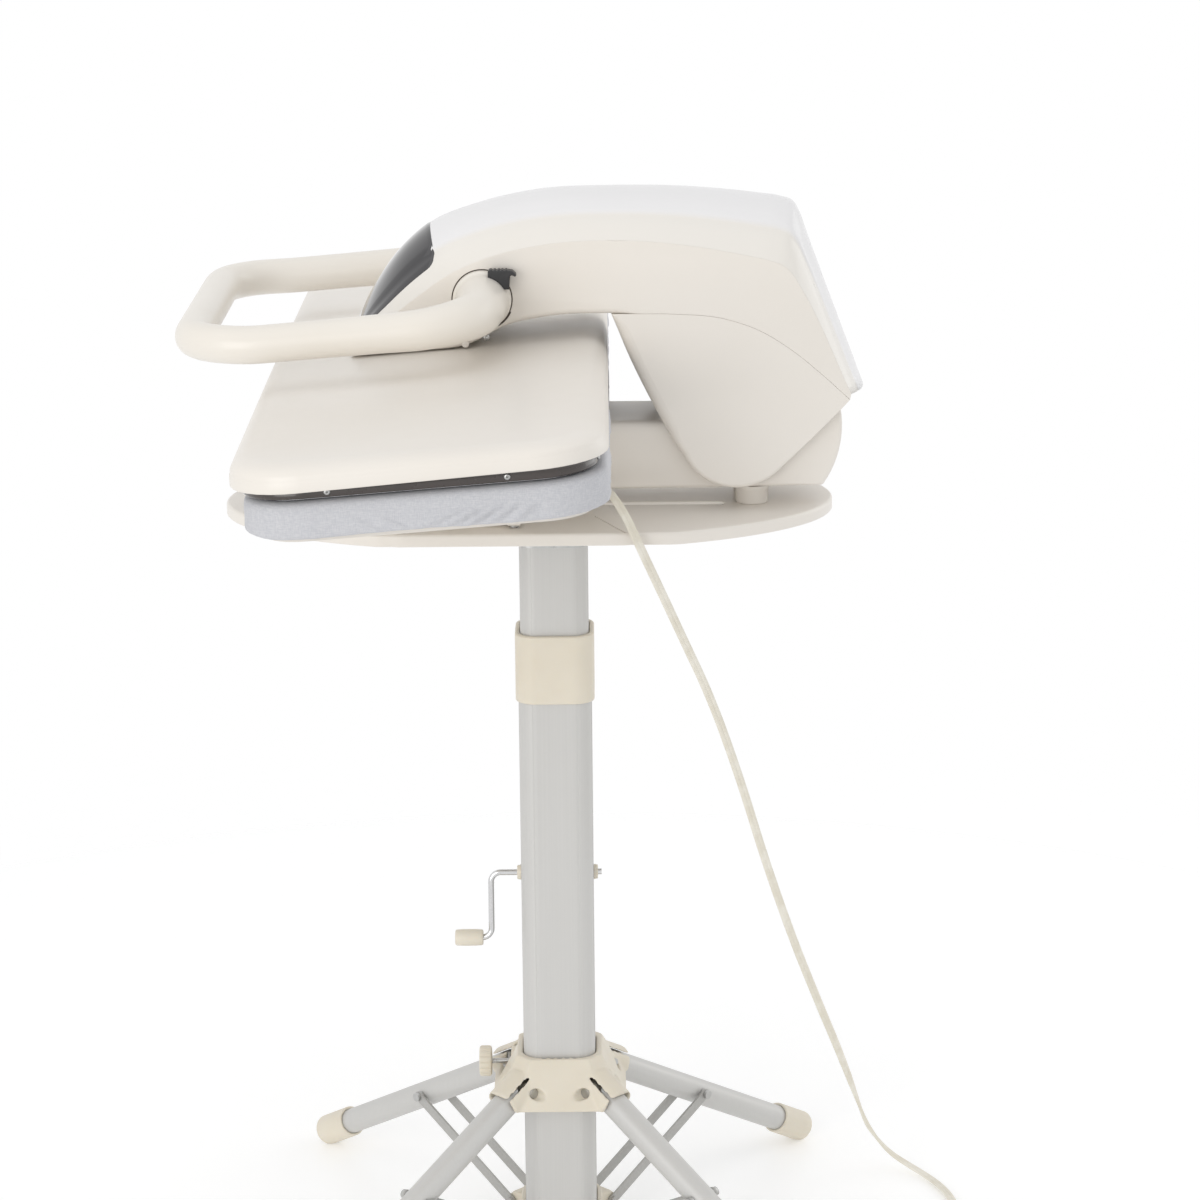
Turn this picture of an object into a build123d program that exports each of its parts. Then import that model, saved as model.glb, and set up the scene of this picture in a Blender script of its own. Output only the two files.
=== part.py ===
from build123d import *
from math import asin, cos, degrees, pi, radians, sin, sqrt, tan
import os

# Steam press on a folding pedestal stand. Millimetres, +Z up. The person stands at -Y, the platen's
# long side runs along X. Every place below is measured from the column's axis and the floor, and
# column_y then puts that axis so that the origin is at the middle of the object's box.

# Column: a grooved square tube, a second tube sliding in it, a collar at its top
column_width = 60.0
column_corner = 15.0
column_wall = 1.8
column_bottom = 6.0
column_top = 536.0
groove_width = 1.4
groove_depth = 0.5
groove_places = (18.5, 23.0)
slide_gap = 0.3
inner_wall = 1.6
inner_bottom = 360.0
inner_top = 636.0
slot_width = 9.0
height_down = 70.0
collar_bottom = 483.0
collar_top = 540.0
collar_wall = 2.2
plug_depth = 14.0
plug_rim = 3.0

# Leg hub, legs and braces, one set on each diagonal
hub_gap = 0.35
hub_bottom = 137.0
hub_top = 176.0
hub_rim = 5.0
hub_skirt = 56.0
hub_skirt_flat = 37.0
hub_socket_width = 32.0
hub_channel_width = 24.0
hub_mouth = 22.0
pivot_radius = 47.3
pivot_height = 150.0
leg_slope = 28.6
leg_length = 293.5
leg_diameter = 22.0
leg_wall = 1.3
brace_reach = 132.3
pin_diameter = 5.0
bolt_diameter = 4.2
pin_gap = 0.06
cap_diameter = 27.0
cap_length = 40.0
cap_wall_gap = 0.1
strip_width = 8.6
strip_thickness = 2.0
strip_offset = 13.0
ear_width = 24.4
ear_reach = 53.5
lower_collar_bottom = 8.0
lower_collar_top = 38.0

# Clamp screw and star knob on the hub's front side
clamp_x = -16.5
clamp_z = 155.0
clamp_ear_y = 41.5
clamp_pocket_width = 24.0
clamp_screw_diameter = 4.2
clamp_knob_diameter = 27.0
clamp_knob_near = 57.7
clamp_knob_far = 68.5
clamp_ribs = 14

# Crank, its bushes, its pinion and the rack on the inner tube
crank_z = 329.0
crank_diameter = 5.0
crank_reach = 55.5
crank_throw = 55.5
crank_lean = 5.5
crank_bend = 8.0
crank_knob_diameter = 14.0
crank_knob_near = 62.5
crank_knob_length = 23.5
bush_diameter = 13.0
bush_flange = 3.6
gear_module = 1.0
gear_teeth = 12
gear_width = 12.0
rack_tooth_base = 0.85
pinion_tooth_base = 1.1
rack_thickness = 6.0

# Table plate and the bracket that holds it on the inner tube
table_z = 650.0
table_rim = 10.0
table_skin = 4.0
table_half_x = 147.0
table_half_y = 245.0
table_y = -19.0
table_cut = 129.5
table_ear = 131.0
table_ear_front = -120.0
table_ear_back = 59.0
table_slot_x = 29.0
table_slot_front = 28.0
table_slot_back = 138.0
table_slot_width = 10.0
bracket_width = 84.0
bracket_depth = 22.0
bracket_wall = 3.0

# Press base: the housing with the hinge, its feet, and the neck under the board
hinge_y = 147.0
hinge_z = 715.0
housing_half = 45.0
housing_wall = 3.0
housing_bottom = 665.0
housing_front = 14.0
housing_deck = 720.0
housing_radius = 84.0
shaft_diameter = 14.0
post_x = 25.0
post_y = 160.0
post_diameter = 26.0
neck_half = 115.0
neck_front = -92.0
neck_back = -24.0
neck_wall = 10.0
neck_recess = 14.0
neck_tongue = 36.0

# Board and platen, both on a plane that tips towards the person
tilt = 4.4
board_y = -85.0
board_z = 748.8
board_length = 830.0
board_width = 260.0
board_corner = 46.0
cloth = 1.2
fit = 0.4
cover_depth = 26.0
cover_turn = 12.0
pan_depth = 31.0
pan_top = -8.4
pan_inset = 13.5
plate_v = -3.0
plate_length = 812.0
plate_width = 243.0
plate_corner = 38.0
plate_low = 0.4
plate_skin = 5.4
plate_high = 11.0
band_length = 822.0
band_width = 252.5
band_corner = 42.0
band_low = 1.4
band_high = 14.0
band_wall = 2.5
shell_length = 840.0
shell_width = 269.5
shell_corner = 52.0
shell_wall = 3.0
shell_rim_front = 7.0
shell_rim_back = 10.6
shell_edge = 27.0
shell_crown = 32.0
shell_round = 9.0
screw_diameter = 5.0
bracket_flange = 787.5

# Arm: crest and lower crease as matched points (y, z), from the nose over the top to the back
crest = [(-153, 800), (-137, 828.5), (-113, 859), (-93, 875), (-57, 889),
         (-7, 899.7), (50, 902), (120, 900), (197, 890.7), (209, 852), (250, 742)]
crease = [(-148, 793), (-126, 808), (-103, 825), (-84, 838.5), (-52, 853.5),
          (-5, 864.5), (48, 867.6), (115, 862), (185, 847), (197, 829), (237, 744)]
arm_half = 60.0
arm_flat = 40.0
arm_flat_share = 0.42
arm_lip = 6.0
arm_wall = 3.0
panel_half = 50.0
panel_back = -90.0
seam = 0.4
arm_under_back = (48.0, 809.5)
arm_under = [(8.0, 808.6), (-33.5, 800.7), (-65.0, 785.5), (-112.0, 781.0)]
cheek_line = [(236.0, 739.4), (218.5, 755.6), (187.0, 781.6), (166.0, 794.6), (134.0, 805.6), (92.0, 809.3)]
cheek_inner = 47.0
cheek_radius = 46.5

# Handle, its hubs and the latch
hub_y = -52.7
hub_z = 822.0
handle_half = 157.0
handle_reach = 222.0
handle_diameter = 29.0
handle_drop = 4.5
handle_bend = 60.0
handle_corner = 50.0
knuckle_diameter = 46.0
knuckle_out = 84.0
recess_gap = 1.2
recess_depth = 1.4
axle_diameter = 20.0

# Cord: its points (x, y, z), chosen by hand, and its coil
cord_diameter = 6.4
gland_y = 30.0
gland_z = 672.0
gland_length = 13.0
cord_rest = 3.4
cord_points = [(58, 30, 672), (71, 30, 672), (90, 36, 678.5), (110, 45, 680), (133, 58.5, 664),
               (141.5, 69.5, 640), (133, 85, 604), (112, 101.5, 562), (78, 126, 500), (42, 150.5, 421),
               (8, 172, 341), (-30, 197.5, 257), (-63, 222, 186), (-93, 241, 132), (-115, 256.5, 85),
               (-131, 268, 48), (-140.5, 277, 31), (-141, 290, 15), (-133.5, 306, 6.5), (-117, 320, 3.6),
               (-95, 331, cord_rest), (-67, 339, cord_rest), (-25, 342, cord_rest), (22, 340, cord_rest),
               (68, 340, cord_rest)]
coil_radius = 60.0
coil_gap = 0.7
coil_turns = 2
coil_exit = 50.0
plug_length = 40.0
plug_width = 27.0
plug_relief = 12.0
pin_spacing = 19.0

# Worked out from the sizes above
front_reach = -hub_y + handle_reach * cos(radians(handle_drop)) + handle_diameter / 2
column_y = (front_reach - crest[-1][0]) / 2
inner_width = column_width - 2 * column_wall - 2 * slide_gap
inner_corner = column_corner - column_wall - slide_gap
slope_cos = cos(radians(leg_slope))
slope_sin = sin(radians(leg_slope))
collar_height = pivot_height - 2 * brace_reach * slope_sin

# Planes through the column's axis: the plan view, the side view (y, z) and the front view (x, z)
floor = Plane((0, column_y, 0))
side = Plane(origin=(0, column_y, 0), x_dir=(0, 1, 0), z_dir=(1, 0, 0))
front = Plane(origin=(0, column_y, 0), x_dir=(1, 0, 0), z_dir=(0, -1, 0))

# Planes of the tilted board: along it, across it (v, w) and from the front (x, w)
tilt_cos = cos(radians(tilt))
tilt_sin = sin(radians(tilt))
board_origin = (0, column_y + board_y, board_z)
board = Plane(origin=board_origin, x_dir=(1, 0, 0), z_dir=(0, -tilt_sin, tilt_cos))
board_side = Plane(origin=board_origin, x_dir=(0, tilt_cos, tilt_sin), z_dir=(1, 0, 0))
board_front = Plane(origin=board_origin, x_dir=(1, 0, 0), z_dir=(0, -tilt_cos, -tilt_sin))
board_up = Axis(board_origin, (0, -tilt_sin, tilt_cos))

os.makedirs("parts", exist_ok=True)


def finish(builder, name):
    """Label the piece and write it under its own name."""
    builder.part.label = name
    export_step(builder.part, f"parts/{name}.step")
    print(f"{name}: {len(builder.part.solids())} solid(s), {builder.part.volume / 1000:.1f} cm3")


def leg_plane(number):
    """The upright plane (r, z) of one leg, on a diagonal of the column."""
    turn = radians(45 + 90 * number)
    return Plane(origin=(0, column_y, 0), x_dir=(cos(turn), sin(turn), 0), z_dir=(sin(turn), -cos(turn), 0))


def along_leg(distance, lift=0.0):
    """A point (r, z) on a leg's axis at a distance from its pivot, lifted square to the axis."""
    return (pivot_radius + distance * slope_cos + lift * slope_sin,
            pivot_height - distance * slope_sin + lift * slope_cos)


def leg_section(number, distance):
    """The plane square to a leg's axis, facing down the leg."""
    turn = radians(45 + 90 * number)
    radius, height = along_leg(distance)
    return Plane(origin=(radius * cos(turn), column_y + radius * sin(turn), height),
                 x_dir=(sin(turn), -cos(turn), 0),
                 z_dir=(slope_cos * cos(turn), slope_cos * sin(turn), -slope_sin))


# Column

def grooved_tube(width, corner, wall, low, high):
    with BuildPart() as tube:
        with BuildSketch(floor.offset(low)):
            RectangleRounded(width, width, corner)
            RectangleRounded(width - 2 * wall, width - 2 * wall, corner - wall, mode=Mode.SUBTRACT)
            for place in groove_places:
                for across in (place, -place):
                    for edge in (width / 2, -width / 2):
                        with Locations((across, edge)):
                            Rectangle(groove_width, 2 * groove_depth, mode=Mode.SUBTRACT)
                        with Locations((edge, across)):
                            Rectangle(2 * groove_depth, groove_width, mode=Mode.SUBTRACT)
        extrude(amount=high - low)
    return tube.part


with BuildPart() as column_outer_tube:
    add(grooved_tube(column_width, column_corner, column_wall, column_bottom, column_top))
    with BuildSketch(front):
        with Locations((0, crank_z)):
            Circle(bush_diameter / 2 - 2)
    extrude(amount=column_width, both=True, mode=Mode.SUBTRACT)
finish(column_outer_tube, "column_outer_tube")

with BuildPart() as column_end_plug:
    with BuildSketch(floor.offset(column_bottom - plug_rim)):
        RectangleRounded(column_width, column_width, column_corner)
    extrude(amount=plug_rim)
    with BuildSketch(floor.offset(column_bottom)):
        RectangleRounded(column_width - 2 * column_wall - 0.2, column_width - 2 * column_wall - 0.2,
                         column_corner - column_wall - 0.1)
    extrude(amount=plug_depth)
    with BuildSketch(floor.offset(column_bottom)):
        RectangleRounded(column_width - 2 * column_wall - 8, column_width - 2 * column_wall - 8, 6)
    extrude(amount=plug_depth, mode=Mode.SUBTRACT)
finish(column_end_plug, "column_end_plug")

with BuildPart() as column_collar:
    collar_width = column_width + 2 * collar_wall + 0.2
    with BuildSketch(floor.offset(collar_bottom)):
        RectangleRounded(collar_width, collar_width, column_corner + collar_wall)
    extrude(amount=collar_top - collar_bottom)
    fillet(column_collar.edges().group_by(Axis.Z)[-1], 1.5)
    with BuildSketch(floor.offset(collar_bottom)):
        RectangleRounded(column_width + 0.2, column_width + 0.2, column_corner + 0.1)
    extrude(amount=column_top - collar_bottom + 0.2, mode=Mode.SUBTRACT)
    with BuildSketch(floor.offset(column_top)):
        RectangleRounded(inner_width + 2 * slide_gap, inner_width + 2 * slide_gap, inner_corner + slide_gap)
    extrude(amount=collar_top - column_top, mode=Mode.SUBTRACT)
finish(column_collar, "column_collar")

with BuildPart() as column_inner_tube:
    add(grooved_tube(inner_width, inner_corner, inner_wall, inner_bottom, inner_top))
    slot_top = crank_z + height_down + slot_width / 2
    with BuildSketch(front):
        with Locations((0, (inner_bottom - slot_width + slot_top) / 2)):
            SlotOverall(slot_top - inner_bottom + slot_width, slot_width, rotation=90)
    extrude(amount=column_width, both=True, mode=Mode.SUBTRACT)
finish(column_inner_tube, "column_inner_tube")

# The lower collar has an ear on each diagonal; its slot is open at the bottom, where the brace's pin sits
with BuildPart() as lower_collar:
    with BuildSketch(floor.offset(lower_collar_bottom)):
        RectangleRounded(column_width + 8, column_width + 8, column_corner + 4)
    extrude(amount=lower_collar_top - lower_collar_bottom)
    for number in range(4):
        with BuildSketch(leg_plane(number)):
            with BuildLine():
                Polyline((column_width / 2, lower_collar_top - 6), (pivot_radius, lower_collar_top - 6),
                         (ear_reach, lower_collar_top - 12), (ear_reach, lower_collar_bottom + 6),
                         (pivot_radius, lower_collar_bottom), (column_width / 2, lower_collar_bottom), close=True)
            make_face()
        extrude(amount=ear_width / 2, both=True)
    for number in range(4):
        with BuildSketch(leg_plane(number)):
            with Locations((pivot_radius, collar_height)):
                Circle(bolt_diameter / 2 + 0.2)
            with Locations((pivot_radius, collar_height / 2)):
                Rectangle(bolt_diameter + 0.4, collar_height)
        extrude(amount=ear_width, both=True, mode=Mode.SUBTRACT)
    with BuildSketch(floor.offset(lower_collar_bottom)):
        RectangleRounded(column_width + 0.2, column_width + 0.2, column_corner + 0.1)
    extrude(amount=lower_collar_top - lower_collar_bottom, mode=Mode.SUBTRACT)
finish(lower_collar, "lower_collar")

# Crank bushes: a flange outside each wall of the column and a sleeve through it
with BuildPart() as crank_bushes:
    for facing in (1, -1):
        wall_plane = Plane(origin=(0, column_y - facing * (column_width / 2 - column_wall), crank_z),
                           x_dir=(1, 0, 0), z_dir=(0, -facing, 0))
        with BuildSketch(wall_plane):
            Circle(bush_diameter / 2 - 2.1)
        extrude(amount=column_wall + bush_flange)
        with BuildSketch(wall_plane.offset(column_wall)):
            Circle(bush_diameter / 2)
        extrude(amount=bush_flange, taper=12)
    with BuildSketch(front):
        with Locations((0, crank_z)):
            Circle(crank_diameter / 2 + pin_gap)
    extrude(amount=column_width, both=True, mode=Mode.SUBTRACT)
finish(crank_bushes, "crank_bushes")

# Crank: from behind the rear bush, through the pinion, out at the front, down and out again
crank_tail = column_width / 2 + bush_flange + 3
grip_x = crank_throw * sin(radians(crank_lean))
grip_z = crank_z - crank_throw * cos(radians(crank_lean))
with BuildPart() as crank_rod:
    with BuildLine() as crank_line:
        FilletPolyline((0, column_y + crank_tail, crank_z), (0, column_y - crank_reach, crank_z),
                       (grip_x, column_y - crank_reach, grip_z),
                       (grip_x, column_y - crank_knob_near - crank_knob_length + 2, grip_z),
                       radius=crank_bend)
    with BuildSketch(Plane(origin=crank_line.line @ 0, z_dir=crank_line.line % 0)):
        Circle(crank_diameter / 2)
    sweep()
finish(crank_rod, "crank_rod")

with BuildPart() as crank_knob:
    knob_plane = Plane(origin=(grip_x, column_y - crank_knob_near, grip_z),
                       x_dir=(1, 0, 0), z_dir=(0, -1, 0))
    with BuildSketch(knob_plane):
        Circle(crank_knob_diameter / 2)
    extrude(amount=crank_knob_length)
    fillet(crank_knob.edges(), 0.8)
    with BuildSketch(knob_plane):
        Circle(crank_diameter / 2 + pin_gap)
    extrude(amount=crank_knob_length - 2 + pin_gap, mode=Mode.SUBTRACT)
finish(crank_knob, "crank_knob")

# Pinion and rack: straight-sided teeth with backlash, in mesh at rest
tooth_pitch = pi * gear_module
pitch_radius = gear_module * gear_teeth / 2
with BuildPart() as crank_pinion:
    with BuildSketch(front.offset(-gear_width / 2)):
        with Locations((0, crank_z)):
            Circle(pitch_radius - 1.2 * gear_module)
        for tooth in range(gear_teeth):
            turn = 360 * tooth / gear_teeth
            with Locations(Location((0, crank_z, 0), (0, 0, turn))):
                with Locations((pitch_radius - 0.2 * gear_module, 0)):
                    Trapezoid(0.36 * tooth_pitch + pinion_tooth_base, 2.4 * gear_module, 75, rotation=-90)
    extrude(amount=gear_width)
    with BuildSketch(front):
        with Locations((0, crank_z)):
            Circle(crank_diameter / 2 + 0.01)
    extrude(amount=column_width, both=True, mode=Mode.SUBTRACT)
finish(crank_pinion, "crank_pinion")

with BuildPart() as height_rack:
    rack_low = crank_z - 125
    rack_high = crank_z + height_down + 25
    rack_face = pitch_radius + 1.3 * gear_module
    with BuildSketch(front.offset(-gear_width / 2)):
        with Locations((rack_face + rack_thickness / 2, (rack_low + rack_high) / 2)):
            Rectangle(rack_thickness, rack_high - rack_low)
        first = int((rack_low + 2 - crank_z) / tooth_pitch)
        last = int((rack_high - 2 - crank_z) / tooth_pitch)
        for step in range(first, last):
            with Locations((rack_face - gear_module, crank_z + (step + 0.5) * tooth_pitch)):
                Trapezoid(0.36 * tooth_pitch + rack_tooth_base, 2.2 * gear_module, 72, rotation=90)
    extrude(amount=gear_width)
    with BuildSketch(front.offset(-gear_width / 2)):
        with Locations(((rack_face + inner_width / 2 - inner_wall) / 2, rack_high - 12)):
            Rectangle(inner_width / 2 - inner_wall - rack_face - 0.02, 20)
    extrude(amount=gear_width)
finish(height_rack, "height_rack")

# Leg hub: a flared skirt round the column with a rounded socket over each leg

def octagon(half, flat, height):
    with BuildSketch(floor.offset(height)) as face:
        with BuildLine():
            Polyline((half, -flat), (half, flat), (flat, half), (-flat, half), (-half, flat),
                     (-half, -flat), (-flat, -half), (flat, -half), close=True)
        make_face()
    return face.sketch


with BuildPart() as leg_hub:
    rim_half = column_width / 2 + hub_gap + hub_rim
    loft([octagon(hub_skirt, hub_skirt_flat, hub_bottom), octagon(rim_half, rim_half - 11, hub_top)], ruled=True)
    for number in range(4):
        with BuildSketch(leg_section(number, -6)):
            Circle(hub_socket_width / 2)
        extrude(amount=hub_mouth + 6)
    with BuildSketch(floor.offset(hub_top + 10)):
        Rectangle(4 * column_width, 4 * column_width)
    extrude(amount=-10 + 1.0, mode=Mode.SUBTRACT)
    with BuildSketch(floor.offset(hub_bottom)):
        Rectangle(4 * column_width, 4 * column_width)
    extrude(amount=-60, mode=Mode.SUBTRACT)
    # flat pocket with the ear that holds the clamp screw
    with BuildSketch(front.offset(rim_half)):
        with Locations((clamp_x, clamp_z + 10)):
            Rectangle(clamp_pocket_width, 38)
    extrude(amount=40, mode=Mode.SUBTRACT)
    with BuildSketch(front.offset(rim_half - 1)):
        with Locations((clamp_x, clamp_z)):
            RectangleRounded(14, 23, 2)
    extrude(amount=clamp_ear_y - rim_half + 1)
    with BuildSketch(front.offset(clamp_ear_y - 4)):
        with Locations((clamp_x, clamp_z + 7.5)):
            Rectangle(8, 1.8)
    extrude(amount=4, mode=Mode.SUBTRACT)
    # channels for the legs, open below so that they can fold down
    for number in range(4):
        with BuildSketch(leg_plane(number)):
            with BuildLine():
                Polyline((pivot_radius - 9.6, hub_bottom - 15), (pivot_radius - 9.6, pivot_height + 8),
                         along_leg(-9, leg_diameter / 2 + 0.5), along_leg(60, leg_diameter / 2 + 0.5),
                         along_leg(60, -60), close=True)
            make_face()
        extrude(amount=hub_channel_width / 2, both=True, mode=Mode.SUBTRACT)
        with BuildSketch(leg_plane(number)):
            with Locations((pivot_radius, pivot_height)):
                Circle(pin_diameter / 2 + 0.02)
        extrude(amount=hub_socket_width, both=True, mode=Mode.SUBTRACT)
        for facing in (1, -1):
            with BuildSketch(leg_plane(number).offset(facing * hub_socket_width / 2)):
                with Locations((pivot_radius, pivot_height)):
                    Circle(pin_diameter / 2 + 2.2)
            extrude(amount=facing * 12, mode=Mode.SUBTRACT)
    with BuildSketch(floor.offset(hub_bottom - 5)):
        RectangleRounded(column_width + 2 * hub_gap, column_width + 2 * hub_gap, column_corner + hub_gap)
    extrude(amount=hub_top - hub_bottom + 20, mode=Mode.SUBTRACT)
    # small notches inside the rim
    with BuildSketch(floor.offset(hub_top + 1)):
        with Locations((0, 0)):
            for facing in (1, -1):
                with Locations((facing * (column_width / 2 + hub_gap), 0)):
                    with GridLocations(1, 6.2, 1, 5):
                        Rectangle(3.2, 3.4)
    extrude(amount=-8, mode=Mode.SUBTRACT)
    with BuildSketch(front):
        with Locations((clamp_x, clamp_z)):
            Circle(clamp_screw_diameter / 2 + pin_gap)
    extrude(amount=80, mode=Mode.SUBTRACT)
finish(leg_hub, "leg_hub")

with BuildPart() as hub_pivot_screws:
    for number in range(4):
        with BuildSketch(leg_plane(number)):
            with Locations((pivot_radius, pivot_height)):
                Circle(pin_diameter / 2)
        extrude(amount=hub_socket_width / 2 + 1, both=True)
        for facing in (1, -1):
            with BuildSketch(leg_plane(number).offset(facing * (hub_socket_width / 2 + 0.1))):
                with Locations((pivot_radius, pivot_height)):
                    Circle(pin_diameter / 2 + 1.7)
            extrude(amount=facing * 1.8)
finish(hub_pivot_screws, "hub_pivot_screws")

with BuildPart() as clamp_screw:
    with BuildSketch(front.offset(column_width / 2 + slide_gap)):
        with Locations((clamp_x, clamp_z)):
            Circle(clamp_screw_diameter / 2)
    extrude(amount=clamp_knob_far - 3 - column_width / 2 - slide_gap)
finish(clamp_screw, "clamp_screw")

with BuildPart() as clamp_knob:
    with BuildSketch(front.offset(clamp_knob_near)):
        with Locations((clamp_x, clamp_z)):
            Circle(clamp_knob_diameter / 2 - 1.2)
            with PolarLocations(clamp_knob_diameter / 2 - 1.6, clamp_ribs):
                Circle(1.6)
    extrude(amount=clamp_knob_far - clamp_knob_near)
    with BuildSketch(front.offset(clamp_knob_near)):
        with Locations((clamp_x, clamp_z)):
            Circle(clamp_screw_diameter / 2 + 0.01)
    extrude(amount=clamp_knob_far - clamp_knob_near - 3, mode=Mode.SUBTRACT)
finish(clamp_knob, "clamp_knob")

# Legs: each has a tube, a foot cap cut flat at the floor, and the pins it carries

for number in range(4):
    name = str(number + 1)
    tube_start = 10.6
    tube_end = leg_length - 5
    with BuildPart() as leg_tube:
        with BuildSketch(leg_section(number, tube_start)):
            Circle(leg_diameter / 2)
            Circle(leg_diameter / 2 - leg_wall, mode=Mode.SUBTRACT)
        extrude(amount=tube_end - tube_start)
        with BuildSketch(leg_plane(number)):
            with Locations(along_leg(brace_reach)):
                Circle(bolt_diameter / 2 + 0.02)
        extrude(amount=leg_diameter, both=True, mode=Mode.SUBTRACT)
    finish(leg_tube, "leg_tube_" + name)

    with BuildPart() as foot_cap:
        with BuildSketch(leg_section(number, leg_length - cap_length)):
            Circle(cap_diameter / 2)
        extrude(amount=cap_length)
        fillet(foot_cap.edges().filter_by(GeomType.CIRCLE).sort_by(Axis.Z)[0], 2.5)
        with BuildSketch(leg_section(number, leg_length - cap_length)):
            Circle(leg_diameter / 2 + cap_wall_gap)
        extrude(amount=tube_end - leg_length + cap_length + cap_wall_gap, mode=Mode.SUBTRACT)
        with BuildSketch(floor):
            Rectangle(20 * column_width, 20 * column_width)
        extrude(amount=-40, mode=Mode.SUBTRACT)
    finish(foot_cap, "foot_cap_" + name)

    with BuildPart() as leg_pins:
        with BuildSketch(leg_plane(number)):
            with Locations((pivot_radius, pivot_height)):
                Circle(9.2)
        extrude(amount=hub_channel_width / 2 - 0.4, both=True)
        with BuildSketch(leg_section(number, 0)):
            Circle(leg_diameter / 2 - leg_wall - 0.1)
        extrude(amount=30)
        with BuildSketch(leg_plane(number)):
            with Locations((pivot_radius, pivot_height)):
                Circle(pin_diameter / 2 + pin_gap)
        extrude(amount=leg_diameter, both=True, mode=Mode.SUBTRACT)
        with BuildSketch(leg_plane(number)):
            with Locations(along_leg(brace_reach)):
                Circle(bolt_diameter / 2)
        extrude(amount=strip_offset + strip_thickness + 1, both=True)
        for facing in (1, -1):
            with BuildSketch(leg_plane(number).offset(facing * (leg_diameter / 2 + 0.02))):
                with Locations(along_leg(brace_reach)):
                    Circle(bolt_diameter / 2 + 1.9)
            extrude(amount=facing * (strip_offset - leg_diameter / 2 - 0.12))
            with BuildSketch(leg_plane(number).offset(facing * (strip_offset + strip_thickness + 0.1))):
                with Locations(along_leg(brace_reach)):
                    Circle(bolt_diameter / 2 + 1.7)
            extrude(amount=facing * 2.8)
    finish(leg_pins, "leg_pins_" + name)

    with BuildPart() as brace:
        upper = along_leg(brace_reach)
        lower = (pivot_radius, collar_height)
        lean = degrees(asin((upper[1] - lower[1]) / brace_reach))
        for facing in (1, -1):
            with BuildSketch(leg_plane(number).offset(facing * strip_offset)):
                with Locations(Location(((upper[0] + lower[0]) / 2, (upper[1] + lower[1]) / 2, 0), (0, 0, lean))):
                    SlotOverall(brace_reach + strip_width, strip_width)
                with Locations(upper):
                    Circle(bolt_diameter / 2 + pin_gap, mode=Mode.SUBTRACT)
            extrude(amount=facing * strip_thickness)
            with BuildSketch(leg_plane(number).offset(facing * (strip_offset + strip_thickness))):
                with Locations(lower):
                    Circle(3.6)
            extrude(amount=facing * 2)
        with BuildSketch(leg_plane(number)):
            with Locations(lower):
                Circle(bolt_diameter / 2)
        extrude(amount=strip_offset + strip_thickness, both=True)
    finish(brace, "brace_" + name)


# Table plate, its bracket and bolts

def table_outline(inset):
    with BuildSketch() as outline:
        with Locations((0, table_y)):
            Ellipse(table_half_x - inset, table_half_y - inset)
            Rectangle(2 * (table_cut - inset), 2 * table_half_y, mode=Mode.INTERSECT)
        with Locations((0, (table_ear_front + table_ear_back) / 2)):
            Rectangle(2 * (table_ear - inset), table_ear_back - table_ear_front - 2 * inset)
    return outline.sketch


bracket_front = -72.0
bracket_back = 26.0
bolt_places = [(across, along) for across in (50, -50) for along in (bracket_front + 12, bracket_back - 10)]
table_under = table_z - table_skin

with BuildPart() as table_top:
    with BuildSketch(floor.offset(table_z - table_rim)):
        add(table_outline(0))
    extrude(amount=table_rim)
    fillet(table_top.edges().group_by(Axis.Z)[-1], 0.8)
    with BuildSketch(floor.offset(table_z - table_rim)):
        add(table_outline(3))
    extrude(amount=table_rim - table_skin, mode=Mode.SUBTRACT)
    with BuildSketch(floor.offset(table_under)):
        for across in (table_slot_x, -table_slot_x):
            with Locations((across, (table_slot_front + table_slot_back) / 2)):
                SlotOverall(table_slot_back - table_slot_front, table_slot_width, rotation=90)
    extrude(amount=table_skin, mode=Mode.SUBTRACT)
    with BuildSketch(floor.offset(table_z - 0.5)):
        for across in (1, -1):
            with BuildLine():
                Polyline((across * 72, 33), (across * 131, 58), (across * 131, 59.2), (across * 72, 34.2), close=True)
            make_face()
    extrude(amount=1, mode=Mode.SUBTRACT)
    with BuildSketch(floor.offset(table_under)):
        with Locations(*bolt_places):
            Circle(2.52)
    extrude(amount=2.6, mode=Mode.SUBTRACT)
finish(table_top, "table_top")

with BuildPart() as table_bracket:
    bracket_low = table_z - table_rim - bracket_depth - 4
    with BuildSketch(floor.offset(table_under - bracket_wall)):
        with Locations((0, (bracket_front + bracket_back) / 2)):
            Rectangle(124, bracket_back - bracket_front)
    extrude(amount=bracket_wall)
    with BuildSketch(floor.offset(bracket_low)):
        RectangleRounded(inner_width + 2 * bracket_wall, inner_width + 2 * bracket_wall, inner_corner + bracket_wall)
    extrude(amount=table_under - bracket_low - 1)
    with BuildSketch(floor.offset(bracket_low + 6)):
        Rectangle(bracket_width, 5)
        Rectangle(5, bracket_width)
    extrude(amount=table_under - bracket_low - 7)
    with BuildSketch(floor.offset(bracket_low)):
        RectangleRounded(inner_width + 0.1, inner_width + 0.1, inner_corner + 0.05)
    extrude(amount=inner_top - bracket_low + 0.1, mode=Mode.SUBTRACT)
    with BuildSketch(floor.offset(table_under - bracket_wall)):
        with Locations(*bolt_places):
            Circle(2.52)
    extrude(amount=bracket_wall, mode=Mode.SUBTRACT)
finish(table_bracket, "table_bracket")

with BuildPart() as table_screws:
    with BuildSketch(floor.offset(table_under - bracket_wall - 3.6)):
        with Locations(*bolt_places):
            RegularPolygon(5, 6)
    extrude(amount=3.6)
    with BuildSketch(floor.offset(table_under - bracket_wall - 1)):
        with Locations(*bolt_places):
            Circle(2.5)
    extrude(amount=bracket_wall + 3.4)
finish(table_screws, "table_screws")

# Press base: the housing, its feet, the hinge shaft and the neck

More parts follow.
